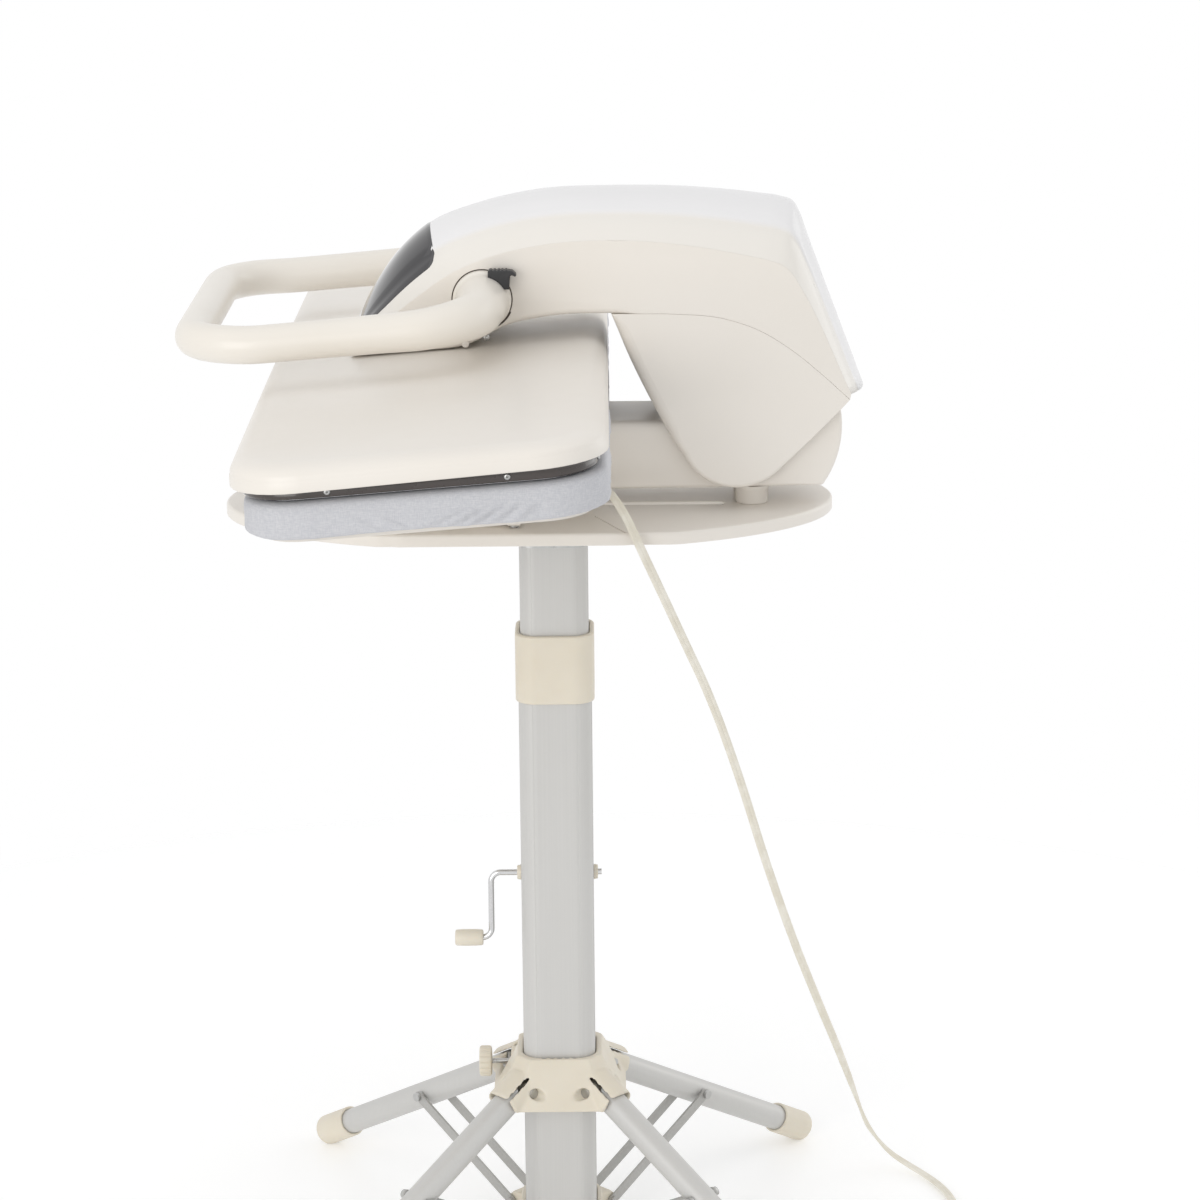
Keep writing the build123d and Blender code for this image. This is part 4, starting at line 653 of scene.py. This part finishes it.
def filled_in(line, longest):
    """The closed line with its long runs divided."""
    points = []
    for here, after in zip(line, np.roll(line, -1, axis=0)):
        count = max(1, math.ceil(np.linalg.norm(after - here) / longest))
        points += [here + (after - here) * step / count for step in range(count)]
    return np.array(points)


def rounded_levels(edge, half_width, steps):
    """Levels from one side of a moulding to the other, with each point's own edge radius."""
    levels = [(edge * (1 - math.sin(t)), edge * (1 - math.cos(t)) - half_width)
              for t in np.linspace(0, math.pi / 2, steps)]
    return levels + [(inset, -height) for inset, height in reversed(levels)]


drum = [(*point, 0) for point in about(hinge, 84.0, [*range(54, -31, -4), -34.8])]
housing_line = rounded_line([(14, 665, 5), (14, 720, 8), (92, 720, 14), (112, 766, 20), (140, 786, 16),
                             *drum[:-1], (*drum[-1][:2], 3)], 5)
housing_line = filled_in(housing_line, 3.0)
top_soft = np.clip((housing_line[:, 1] - 700) / 14, 0, 1) * np.clip((150 - housing_line[:, 0]) / 40, 0, 1)
housing = stacked("hinge_housing", housing_line, rounded_levels(2.6 + 5.4 * top_soft, 45.0, 7), on_side,
                  "upper", ivory, 30)
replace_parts(housing, "base_housing")
ivory.cover("board_neck")

post_profile = [(0.0, 0.002), (0.0, 0.0122), (0.0006, 0.0129), (0.0018, 0.0130), (0.0100, 0.0130),
                (0.0110, 0.0136), (0.0128, 0.0138), (0.0148, 0.0137), (0.0149, 0.0060)]
pad_profile = [(0.0, 0.0005), (0.0, 0.0035), (0.0004, 0.004), (0.0068, 0.004), (0.0069, 0.0005)]
for side, side_name in ((1, "near"), (-1, "far")):
    post_rings = turned(post_profile, beside(side * 25, 160, table_high), (0, 0, 1), 56)
    post = add_closed("post_" + side_name, skin(post_rings), "upper", ivory, 40)
    if side > 0:
        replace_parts(post, "base_feet")
for across, along, label in ((107, -87, "near_front"), (107, -29, "near_back"), (-107, -87, "far_front"),
                             (-107, -29, "far_back")):
    pad_rings = turned(pad_profile, beside(across, along, table_high), (0, 0, 1), 24)
    add_closed("neck_pad_" + label, skin(pad_rings), "upper", zinc)

# Board: an ivory pan that the neck carries, and a felted pad in a fitted cover of light blue-grey
# cotton, pulled tight over the pan's rim and gathered under it by an elastic.
board_tilt = math.radians(4.4)
board_y, board_z = -85.0, 748.8


def on_board(u, v, w):
    """A point from its place along, across and above the tilted board, in millimetres."""
    return beside(u, board_y + v * math.cos(board_tilt) - w * math.sin(board_tilt),
                  board_z + v * math.sin(board_tilt) + w * math.cos(board_tilt))


def pad_ring(length, width, corner, inset, middle=0.0):
    """A ring of a rounded rectangle, inset, with as many points for every inset."""
    half_l, half_w = length / 2 - inset, width / 2 - inset
    radius = min(max(corner - inset, 0.4), half_w * 0.98)
    arcs = []
    for quarter, (sx, sy) in enumerate(((1, 1), (-1, 1), (-1, -1), (1, -1))):
        turns = np.radians(quarter * 90 + np.linspace(0, 90, 9))
        arcs.append(np.stack([sx * (half_l - radius) + radius * np.cos(turns),
                              sy * (half_w - radius) + radius * np.sin(turns)], axis=1))
    ring = []
    for arc, after, runs in zip(arcs, arcs[1:] + arcs[:1], (64, 72, 64, 72)):
        ring += [*arc, *np.linspace(arc[-1], after[0], runs, endpoint=False)[1:]]
    return np.array(ring) + (0.0, middle)


# over the top, down the side and in under the rim, then back along the pan and the pad's underside
cloth_levels = [
    (128, -0.5), (75, -0.4), (26, -0.3), (10, -0.4), (5.0, -0.9), (2.4, -2.2), (1.1, -4.0), (0.4, -7.0),
    (0.1, -9.5), (0.0, -11.5), (0.0, -13.3), (0.0, -15.0), (0.0, -16.6), (0.0, -18.2), (0.0, -19.8),
    (0.1, -21.3), (0.2, -22.7), (0.4, -23.9), (1.1, -25.1), (2.6, -25.9), (5.5, -26.2), (9.0, -26.2),
    (11.6, -25.9), (12.0, -25.3), (9.0, -25.05), (3.0, -25.0), (1.25, -24.9), (1.2, -16.0), (1.25, -8.4),
    (3.0, -8.2), (60, -8.1), (128, -8.1)]
last_gathered, last_creased = 23, 24
cloth_lines = [pad_ring(829.6, 259.6, 46.0, inset) for inset, _ in cloth_levels]
outline = cloth_lines[11]
along_edge = lengths(outline)
whole_edge = along_edge[-1] + np.linalg.norm(outline[0] - outline[-1])
tangent = unit(np.roll(outline, -1, axis=0) - np.roll(outline, 1, axis=0))
outward = np.stack([tangent[:, 1], -tangent[:, 0]], axis=1)
chance = np.random.default_rng(11)
creases = [(chance.uniform(0, whole_edge), chance.uniform(-2.2, 2.2), chance.uniform(5.0, 9.0),
            chance.uniform(0.3, 1.2)) for _ in range(46)]
# long slanting creases where the cover is pulled towards its corners
creases += [(whole_edge * share, lean, width, size) for share, lean, width, size in (
    (0.970, -2.4, 5.0, 2.2), (0.977, -2.1, 4.6, 3.2), (0.983, -1.9, 4.6, 3.6), (0.989, -1.7, 4.6, 3.4),
    (0.996, -1.5, 5.0, 3.0), (0.938, 1.6, 4.0, 1.3), (0.946, 1.9, 4.0, 1.1), (0.006, -1.2, 4.0, 1.8))]
gather = [chance.uniform(0, 2 * math.pi) for _ in range(4)]
cloth_rings = []
for row, (ring, (_, depth)) in enumerate(zip(cloth_lines, cloth_levels)):
    # the cloth is smooth on top, creased down its side and finely gathered where it turns in
    side = math.exp(-((-depth - 19.5) / 7.5) ** 2) if row <= last_creased else 0.0
    tuck = min(1.0, max(0.0, (-depth - 12.0) / 12.0)) if row <= last_gathered else 0.0
    push = np.zeros(len(ring))
    for place, lean, width, size in creases:
        gap = along_edge - place - lean * (-depth - 16.0)
        gap = (gap + whole_edge / 2) % whole_edge - whole_edge / 2
        # each fold rises gently and falls steeply
        push += size * np.exp(-(gap / np.where(gap > 0, 0.45 * width, 1.5 * width)) ** 2) * side
    turns = 2 * math.pi * along_edge / whole_edge
    gathers = sum(np.sin(turns * folds + turn) for folds, turn in zip((61, 83, 97, 47), gather)) / 2.6
    push += (gathers + 1.0) * 0.55 * tuck
    hang = -0.5 * tuck * (1 + np.sin(turns * 13 + 2.0))
    moved = ring + outward * np.clip(push - 0.5 * side, -0.8, 4.2)[:, None]
    cloth_rings.append([on_board(u, v, depth + fall) for (u, v), fall in zip(moved, hang)])

cotton = Finish("grey_cotton", (203, 203, 206), 0.86, Sheen_Weight=0.08, Sheen_Roughness=0.5)
thread_turns = 4300.0
x, y, z = (cotton.axis(index) for index in range(3))
wander = (cotton.noise(300.0) - 0.5) * 1.6
warp, weft = ((x + y) * thread_turns + wander).sine(), (z * thread_turns + wander).sine()
weft_top = ((x - y) * thread_turns).sine()
threads = (warp * 0.5 + 0.5) * (weft * 0.5 + 0.5) + weft_top * 0.15
slub = cotton.noise(1500.0, 3.0, (1.0, 1.0, 0.15)) + cotton.noise(1500.0, 3.0, (0.15, 0.15, 1.0))
cotton.dress(cotton.ramp(slub, 0.7, 1.35), (190, 191, 196), (206, 206, 209), 0.80 + slub * 0.08,
             threads * 0.7 + slub * 0.5 + cotton.noise(90.0, 3.0) * 0.8, 0.00012, 0.7)
cloth = add_closed("board_cloth", skin(cloth_rings, "flat"), "upper", cotton, 80)
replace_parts(cloth, "board_cover", "board_pad")
ivory.cover("board_pan")

# Platen: a vacuum-formed ivory cover with a short skirt, a soft crease and a broad round up to its
# domed top. Under it a dark enamelled band holds the heated plate with cross-recess screws.
platen_middle = -3.0


def platen_line(inset):
    return pad_ring(840.0, 269.5, 52.0, inset, platen_middle)


def lip_height(v):
    """The height of the skirt's lip over the board, a little more towards the hinge."""
    return 7.0 + 3.6 * (v + 137.75) / 269.5


# the inner skin from the middle down to the lip, then the outer one up to the crown's middle
shell_rings = [[on_board(u, v, w + 1.4 * v / 135.0) for u, v in platen_line(inset)]
               for inset, w in ((128.0, 21.0), (60.0, 21.0), (14.0, 20.5), (6.0, 19.0), (3.6, 16.5),
                                (3.0, 13.0))]
for inset, lift in ((3.0, 1.2), (2.4, 0.2), (1.6, 0.0), (0.7, 0.1), (0.2, 0.5), (0.0, 1.4), (0.0, 4.0),
                    (0.1, 7.0), (0.35, 8.2), (0.9, 9.1)):
    shell_rings.append([on_board(u, v, lip_height(v) + lift) for u, v in platen_line(inset)])
for share in [step / 14 for step in range(1, 15)] + [1.1, 1.25, 1.45, 1.65, 1.8, 1.9, 1.96]:
    turn = min(share, 1.0) * math.pi / 2
    middle = np.array((0.0, platen_middle))
    ring = []
    for u, v in (platen_line(0.9 + 20.0 * (1 - math.cos(turn))) - middle) * min(1.0, 2.0 - share) + middle:
        base = lip_height(v) + 9.1
        crown = 26.6 + 5.2 * (1 - (u / 420.0) ** 2) + 0.6 * (1 - (v / 135.0) ** 2)
        ring.append(on_board(u, v, base + (crown - base) * math.sin(turn) ** 0.85))
    shell_rings.append(ring)
platen = add_closed("platen_shell", skin(shell_rings, "flat"), "arm", ivory, 50)
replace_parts(platen, "platen_cover")

band_rings = [[on_board(u, v, w) for u, v in pad_ring(822.0, 252.5, 42.0, inset, platen_middle)]
              for inset, w in ((2.5, 13.8), (2.5, 2.6), (2.2, 1.9), (1.6, 1.5), (1.0, 1.5), (0.45, 1.8),
                               (0.1, 2.5), (0.0, 3.4), (0.0, 6.6), (0.18, 6.9), (0.18, 7.5), (0.0, 7.8),
                               (0.0, 13.8))]
enamel = Finish("brown_enamel", (52, 42, 38), 0.22, Coat_Weight=0.6, Coat_Roughness=0.08)
baked = enamel.noise(40.0, 4.0)
enamel.dress(baked, (44, 35, 31), (64, 54, 50), 0.18 + baked * 0.2, enamel.noise(500.0, 3.0), 0.00003)
band = add_closed("enamel_band", skin(band_rings, "loop"), "arm", enamel, 50)
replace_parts(band, "heat_band")

plate_metal = Finish("polished_plate", (196, 196, 198), 0.24, Metallic=1.0)
brushed = plate_metal.noise(500.0, 3.0, (0.03, 1.0, 1.0))
plate_metal.dress(brushed, (182, 182, 184), (210, 210, 212), 0.16 + brushed * 0.2, brushed, 0.00002)
plate_metal.cover("heated_plate")

# Platen screws: twelve plated pan-head screws with a cross recess, set round the band by a node
# tree that copies one head to each place and turns it outwards.
head_rings = []
for along, radius, cross in ((-1.4, 0.6, 0.0), (-1.4, 2.3, 0.0), (0.2, 2.5, 0.0), (0.9, 2.35, 0.0),
                             (1.35, 1.85, 0.0), (1.55, 1.25, 0.02), (1.60, 1.0, 0.1), (1.15, 0.8, 0.45),
                             (0.75, 0.5, 0.6), (0.7, 0.15, 0.6)):
    ring = []
    for angle in angles(48):
        reach = radius * (1 - cross * (1 - abs(math.cos(2 * angle)) ** 3)) / 1000
        ring.append((reach * math.cos(angle), reach * math.sin(angle), along / 1000))
    head_rings.append(ring)
head = in_scene("screw_head", mesh_of("screw_head", *skin(head_rings)))
outwards(head.data)
smoothed(head.data, 40)


def copies_tree(name, finish):
    """A node tree that puts a copy of an object on each point, turned along the point's direction."""
    tree = bpy.data.node_groups.new(name, "GeometryNodeTree")
    for label, kind in (("Places", "Geometry"), ("Copied", "Object"), ("Size", "Float"),
                        ("Turn spread", "Float"), ("Seed", "Int")):
        tree.interface.new_socket(name=label, in_out="INPUT", socket_type="NodeSocket" + kind)
    tree.interface.new_socket(name="Pieces", in_out="OUTPUT", socket_type="NodeSocketGeometry")
    given, result, info, way, aligned, spun, random_turn, whirl, placed, real, coated = (
        tree.nodes.new(kind) for kind in (
            "NodeGroupInput", "NodeGroupOutput", "GeometryNodeObjectInfo", "GeometryNodeInputNamedAttribute",
            "FunctionNodeAlignRotationToVector", "FunctionNodeRotateRotation", "FunctionNodeRandomValue",
            "FunctionNodeAxisAngleToRotation", "GeometryNodeInstanceOnPoints", "GeometryNodeRealizeInstances",
            "GeometryNodeSetMaterial"))
    way.data_type = "FLOAT_VECTOR"
    way.inputs["Name"].default_value = "outward"
    aligned.axis = "Z"
    spun.rotation_space = "LOCAL"
    random_turn.data_type = "FLOAT"
    whirl.inputs["Axis"].default_value = (0.0, 0.0, 1.0)
    coated.inputs["Material"].default_value = finish.material
    lowest, highest = [s for s in random_turn.inputs if s.enabled and s.name in ("Min", "Max")]
    lowest.default_value = 0.0
    for source, goal in (
            (given.outputs["Turn spread"], highest), (given.outputs["Seed"], random_turn.inputs["Seed"]),
            (next(s for s in random_turn.outputs if s.enabled), whirl.inputs["Angle"]),
            (next(s for s in way.outputs if s.enabled), aligned.inputs["Vector"]),
            (aligned.outputs[0], spun.inputs["Rotation"]), (whirl.outputs[0], spun.inputs["Rotate By"]),
            (given.outputs["Places"], placed.inputs["Points"]),
            (given.outputs["Copied"], info.inputs["Object"]),
            (info.outputs["Geometry"], placed.inputs["Instance"]),
            (spun.outputs[0], placed.inputs["Rotation"]),
            (given.outputs["Size"], placed.inputs["Scale"]),
            (placed.outputs["Instances"], real.inputs["Geometry"]),
            (real.outputs["Geometry"], coated.inputs["Geometry"]),
            (coated.outputs["Geometry"], result.inputs["Pieces"])):
        tree.links.new(source, goal)
    return tree


def copied(name, tree, places, values, body, finish):
    """A plain mesh of an object's copies at places, each a point and a direction."""
    points = mesh_of(name + "_places", [place for place, _ in places], [])
    ways = points.attributes.new("outward", "FLOAT_VECTOR", "POINT")
    ways.data.foreach_set("vector", [value for _, way in places for value in way])
    maker = in_scene(name + "_maker", points)
    copier = maker.modifiers.new("copies", "NODES")
    copier.node_group = tree
    for item in tree.interface.items_tree:
        if item.name in values:
            copier[item.identifier] = values[item.name]
    maker.update_tag()
    bpy.context.view_layer.update()
    made = shaped(maker)
    made.name = name
    bpy.data.objects.remove(maker)
    bpy.data.objects.remove(values["Copied"])
    bpy.data.meshes.remove(points)
    return add_piece(name, made, body, finish, 40)


screw_height = 5.6
head_places = []
for u, end in [(u, end) for u in (370, 125, -125, -370) for end in (1, -1)]:
    way = Vector(on_board(0, end, 0)) - Vector(on_board(0, 0, 0))
    head_places.append((Vector(on_board(u, platen_middle + end * 126.3, screw_height)), way.normalized()))
for end, v in [(end, v) for end in (1, -1) for v in (63, -63)]:
    place = Vector(on_board(end * 411.05, platen_middle + v, screw_height))
    head_places.append((place, Vector((end, 0.0, 0.0))))
screws = copied("platen_screw_heads", copies_tree("screw_copies", zinc), head_places,
                {"Copied": head, "Size": 1.0, "Turn spread": 6.28, "Seed": 4}, "arm", zinc)
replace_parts(screws, "platen_screws")

# Arm shell: a deep ivory moulding with plane sides and a rounded belly. A joint groove rings
# the handle's knuckle on each side, with a short slot behind it that the stop pin runs in. A dark
# ring in the groove and a dark lining in the slot are painted shade.
arm_half_width = 60.0
knuckle = (-52.7, 822.0)


def flowing(points, samples=12):
    """A smooth open line through points, with even slopes between them."""
    points = np.array(points, float)
    along = lengths(points)
    slopes = np.gradient(points, along, axis=0)
    line = []
    for here in range(len(points) - 1):
        span = along[here + 1] - along[here]
        for t in np.linspace(0, 1, samples, endpoint=False):
            line.append((2 * t ** 3 - 3 * t ** 2 + 1) * points[here]
                        + (t ** 3 - 2 * t ** 2 + t) * span * slopes[here]
                        + (3 * t ** 2 - 2 * t ** 3) * points[here + 1]
                        + (t ** 3 - t ** 2) * span * slopes[here + 1])
    return np.array(line + [points[-1]])


def eased(values, rounds):
    """Values round a closed line, each drawn towards its neighbours."""
    for _ in range(rounds):
        values = (np.roll(values, 1) + 2 * values + np.roll(values, -1)) / 4
    return values


crease_line = flowing([(-148, 793), (-126, 808), (-103, 825), (-84, 838.5), (-52, 853.5), (-5, 864.5),
                       (48, 867.6), (115, 862), (155, 854.5), (172, 850.6), (183, 846.5), (190.5, 839.5),
                       (197, 829), (237, 744)])
cheek_line = flowing([(236, 739.4), (218.5, 755.6), (187, 781.6), (166, 794.6), (134, 805.6), (92, 809.3)], 6)
belly_line = flowing([(48, 809.5), (8, 808.6), (-33.5, 800.7), (-65, 785.5), (-112, 781), (-157, 778)], 6)
arm_line = filled_in(np.concatenate([crease_line, cheek_line, belly_line]), 4.0)
gap_to_crease = np.min(np.linalg.norm(arm_line[:, None] - crease_line[None], axis=2), axis=1)
arm_edge = eased(np.where(gap_to_crease < 2.5, 0.5, np.where(arm_line[:, 0] > 60, 0.3, 5.0)), 6)
arm_levels = rounded_levels(arm_edge, arm_half_width, 6)
arm_shell = stacked("arm_shell", arm_line, arm_levels, on_side, "arm", ivory, 28)
slot_arc = about(knuckle, 22.4, range(-66, -23, 3)) + about(knuckle, 24.9, range(-24, -67, -3))


def joint_ring(name, side, radii, reach, finish):
    """A square ring about the knuckle, let into the arm's side."""
    low, high = radii
    rings = turned([(0.0588, low), (reach, low), (reach, high), (0.0588, high)],
                   on_side(*knuckle, 0), (side, 0, 0), 96)
    return add_closed(name, skin(rings, "loop"), "arm", finish)


cutters = []
for side in (1, -1):
    cutters.append(joint_ring("groove_cutter", side, (0.0230, 0.0240), 0.0620, ivory))
    arc_levels = [(0.0, side * 57.6), (0.0, side * 61.5)]
    cutters.append(stacked("arc_cutter", slot_arc, arc_levels, on_side, "arm", ivory))
cut_out(arm_shell, cutters, 28)
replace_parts(arm_shell, "arm_side_shell")

# Painted shade: a dark ring at the bottom of each knuckle groove and a dark lining in each slot stand for the
# shade in these gaps; the noise only mottles that dark colour.
shadow = Finish("joint_shadow", (74, 64, 56), 0.6)
shade_mottle = shadow.noise(120.0, 3.0)
shadow.dress(shade_mottle, (62, 53, 47), (90, 79, 70), 0.5 + shade_mottle * 0.2, shade_mottle, 0.00005)
for side, side_name in ((1, "near"), (-1, "far")):
    ring = joint_ring("joint_ring_" + side_name, side, (0.02301, 0.02399), 0.0593, shadow)
    slot_shade = stacked("slot_lining_" + side_name, slot_arc, [(0.02, side * 57.6), (0.02, side * 59.2)],
                     on_side, "arm", shadow)

for name, place, profile, finish, slot in (
        ("arm_screw", (60.0, -49.7, 792.0),
         ((-1.0, 0.4), (-1.0, 2.6), (0.6, 2.6), (1.2, 2.1), (1.4, 1.3), (0.7, 0.9), (0.6, 0.2)), zinc, "steel"),
        ("arm_stud", (59.5, -66.3, 787.0),
         ((-1.0, 0.4), (-1.0, 3.0), (1.6, 3.0), (2.3, 2.5), (2.5, 1.4), (2.5, 0.2)), ivory, "ivory_plastic")):
    rings = turned([(along / 1000, radius / 1000) for along, radius in profile], beside(*place), (1, 0, 0), 32)
    add_closed(name, skin(rings), "arm", finish, 45)

# Hinge cheeks: two ivory side plates that hang from the arm down round the hinge, with broad soft
# front edges. They close on the arm shell along a fine seam.
cheek_outline = filled_in(np.concatenate([
    about(hinge, 46.5, range(-155, -39, 5)), [(197.5, 700.0), (229.4, 732.0)], cheek_line - (0.0, 0.15),
    flowing([(92, 809.1), (70, 809.3), (48.4, 809.2)], 4)[1:],
    flowing([(48.4, 809.2), (61, 777), (78, 741), (96.3, 707)], 6)[1:]]), 4.0)
cheek_y, cheek_z = cheek_outline.T
cheek_edge = 0.3 + 9.0 * np.clip((118 - cheek_y) / 30, 0, 1) * np.clip((808 - cheek_z) / 10, 0, 1)
cheek_edge += 3.0 * np.clip((705 - cheek_z) / 20, 0, 1) * np.clip((cheek_y - 100) / 20, 0, 1)
cheek_levels = [(0.5, 47.0), (0.0, 47.5)] + rounded_levels(eased(cheek_edge, 8), arm_half_width, 7)[7:]
for side, side_name in ((1, "near"), (-1, "far")):
    levels = [(inset, side * height) for inset, height in cheek_levels]
    cheek = stacked("cheek_" + side_name, cheek_outline, levels, on_side, "arm", ivory, 32)
    if side > 0:
        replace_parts(cheek, "hinge_cheeks")

# Arm cover: the cap over the arm, a crown with an ivory band on either side of a soft step,
# moulded as one 3 mm shell. It falls steeply behind and carries the control panel in front. The
# crown is painted a cooler white than the band, as painted light from above.
crest_line = flowing([(-153, 800), (-137, 828.5), (-113, 859), (-93, 875), (-57, 889), (-7, 899.7), (50, 902),
                      (120, 900), (165, 895.2), (184, 892.3), (193, 889), (198.3, 881), (203, 868), (250, 742)])
# half of the section, as (across, share of the way down from the crest to the crease)
cap_half = [(x, 0.42 * (x / 40.0) ** 2) for x in (0, 6, 12, 18, 23, 28, 32, 35.5, 38)]
cap_half += [(38.8, 0.405), (39.5, 0.445), (40.3, 0.482), (41.2, 0.505), (43, 0.535), (46, 0.59), (49, 0.66),
             (52, 0.745), (54.5, 0.825), (56.5, 0.895), (58.0, 0.95), (59.0, 0.985), (59.5, 1.0)]
cap_section = [(-x, share) for x, share in reversed(cap_half[1:])] + cap_half


def cap_point(row, x, share, lift=0.0):
    """A point of the cap's outer face at a station, lifted off it towards its outside."""
    spot = crest_line[row] + (crease_line[row] - crest_line[row]) * share
    step = crest_line[min(row + 1, len(crest_line) - 1)] - crest_line[max(row - 1, 0)]
    return on_side(*(spot + unit(np.array((-step[1], step[0]))) * lift), x)


cap_points = [cap_point(row, x, share) for row in range(len(crest_line)) for x, share in cap_section]
cap_mesh = mesh_of("arm_cap", cap_points, quads(len(crest_line), len(cap_section)))
# Painted light: within about 39 mm of the middle the cap gets a cooler white than the ivory band, standing for
# the light from above on its crown.
crown = Finish("crown_white", (232, 231, 231), 0.30, Coat_Weight=0.15)
mould = crown.noise(8.0, 3.0)
crown.dress(crown.ramp(abs(crown.axis(0)), 0.0384, 0.0412), crown.mix(mould, (229, 228, 228), (235, 234, 235)),
            crown.mix(mould, (230, 226, 219), (236, 232, 226)), 0.24 + crown.noise(60.0, 4.0) * 0.14,
            crown.noise(1300.0) + 0.6 * crown.noise(24.0), 0.00006, 0.4)
cap = add_piece("arm_cap", cap_mesh, "arm", crown, 32)
wall = cap.modifiers.new("wall", "SOLIDIFY")
wall.thickness = 0.003
wall.offset = -1.0
cap.data = shaped(cap)
cap.modifiers.clear()
outwards(cap.data)
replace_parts(cap, "arm_top_cover")

# Control panel: a glossy near-black plate let into the front of the cap, flush with it, with the
# cap's own curve. Behind it sit the board and the tank, which stay out of sight.
gloss = Finish("panel_gloss", (30, 28, 32), 0.07, Coat_Weight=1.0, Coat_Roughness=0.03)
smoked = gloss.noise(20.0, 3.0)
gloss.dress(smoked, (24, 22, 26), (38, 36, 41), 0.05 + smoked * 0.06, gloss.noise(900.0), 0.00001, 0.3)
panel_rows, panel_wide = 35, 41
panel_half, panel_corner = 49.6, 8.0
panel_points = []
for depth in (0.7, -1.6):
    for row in range(panel_rows):
        to_end = panel_rows - 1 - row
        half = panel_half
        if to_end < 4:
            half -= panel_corner - math.sqrt(panel_corner ** 2 - (panel_corner - to_end * 2.0) ** 2)
        for x in np.linspace(-half, half, panel_wide):
            rim = min(1.0, (half - abs(x)) / 1.2 + 0.15, to_end * 0.8 + 0.15, row * 0.8 + 0.15)
            lift = depth - 0.75 * (1 - rim) ** 2 if depth > 0 else depth
            panel_points.append(cap_point(row + 1, x, np.interp(abs(x), *zip(*cap_half)), lift))
layer = panel_rows * panel_wide
panel_faces = quads(panel_rows, panel_wide) + quads(panel_rows, panel_wide, first=layer)
border = [*range(panel_wide), *range(2 * panel_wide - 1, layer, panel_wide),
          *range(layer - 2, layer - panel_wide - 1, -1), *range(layer - 2 * panel_wide, 0, -panel_wide)]
panel_faces += [(a, b, b + layer, a + layer) for a, b in zip(border, border[1:] + border[:1])]
panel = add_closed("panel_plate", (panel_points, panel_faces), "arm", gloss, 40)
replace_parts(panel, "control_panel")

laminate = Finish("green_board", (46, 96, 62), 0.5)
traces = laminate.noise(300.0)
laminate.dress(traces, (38, 84, 54), (58, 112, 74), 0.4 + traces * 0.2, traces, 0.00004)
laminate.cover("control_board")

frosted = Finish("frosted_tank", (214, 222, 228), 0.35, Transmission_Weight=0.6)
haze = frosted.noise(30.0, 3.0)
frosted.dress(haze, (206, 215, 222), (222, 228, 232), 0.28 + haze * 0.2, haze, 0.00006, 0.4)
frosted.cover("water_tank")

# Handle: one moulded ivory loop, thick at the two turned knuckles that pivot in the arm's sides
# and slimmer towards the grip, which sags a little before the bends.
handle_reach = 222.0
drop = math.radians(4.5)
loop = rounded_line([(58, 0, 0), (157, 0, 60), (157, -handle_reach, 50),
                     (-157, -handle_reach, 50), (-157, 0, 60), (-58, 0, 0)], 5)
loop_path = []
for x, s in loop:
    sag = 5.2 * math.sin(math.pi * min(1.0, max(0.0, -s / handle_reach))) ** 1.3
    loop_path.append(on_side(knuckle[0] + s * math.cos(drop), knuckle[1] + s * math.sin(drop) - sag, x))
loop_path = np.array(loop_path)
loop_length = lengths(loop_path)[-1]
near_end = np.linspace(0, 0.034, 30)
stations = np.concatenate([near_end, np.linspace(0.037, loop_length - 0.037, 210),
                           loop_length - near_end[::-1]])
handle_path = points_at(loop_path, stations)
for _ in range(5):
    handle_path[31:-31] = (handle_path[30:-32] + 2 * handle_path[31:-31] + handle_path[32:-30]) / 4
thick = np.interp(np.minimum(stations, loop_length - stations) * 1000,
                  [0, 0.8, 2.0, 6.5, 8.0, 8.8, 12, 26, 60, 100, 150, 200],
                  [21.6, 22.6, 23.0, 23.0, 22.2, 21.0, 20.6, 20.0, 18.0, 16.4, 15.0, 14.6]) / 1000
circle = np.array([(math.cos(angle), math.sin(angle)) for angle in angles(44)])
handle_rings = swept(handle_path, np.array([0.0, 0.0, 1.0]), circle[None] * thick[:, None, None])
grip_white = Finish("handle_ivory", (230, 226, 218), 0.34, Coat_Weight=0.15)
flow_marks = grip_white.noise(9.0, 3.0)
grip_white.dress(flow_marks, (230, 224, 214), (238, 233, 225), 0.28 + grip_white.noise(60.0, 4.0) * 0.14,
                 grip_white.noise(1300.0) + 0.5 * flow_marks, 0.00006, 0.4)
handle = add_closed("handle_loop", skin(handle_rings), "handle", grip_white, 50)
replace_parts(handle, "handle")

# Latch: a black ribbed thumb slide on the knuckle, with a lip that overhangs to the back.
latch_line = [(-47.5, 832.0), (-47.5, 846.0), (-46.5, 847.2)]
for rib in np.arange(-45.6, -33.0, 3.0):
    latch_line += [(rib, 847.6), (rib + 1.0, 847.6), (rib + 1.5, 846.9), (rib + 2.4, 846.9)]
latch_line += [(-28.5, 846.6), (-25.8, 844.2), (-25.4, 842.8), (-26.2, 842.0), (-29.0, 843.2), (-30.2, 842.2),
               (-31.0, 832.0)]
black = Finish("latch_black", (40, 40, 42), 0.42)
speck = black.noise(200.0, 3.0)
black.dress(speck, (34, 34, 36), (52, 52, 54), 0.34 + speck * 0.2, black.noise(1500.0), 0.00005)
latch = stacked("latch_slide", latch_line, [(0.7, 64.3), (0.2, 64.6), (0.0, 65.3), (0.0, 73.6), (0.25, 74.5),
                                            (0.8, 74.9)], on_side, "latch", black, 50)
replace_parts(latch, "handle_latch")
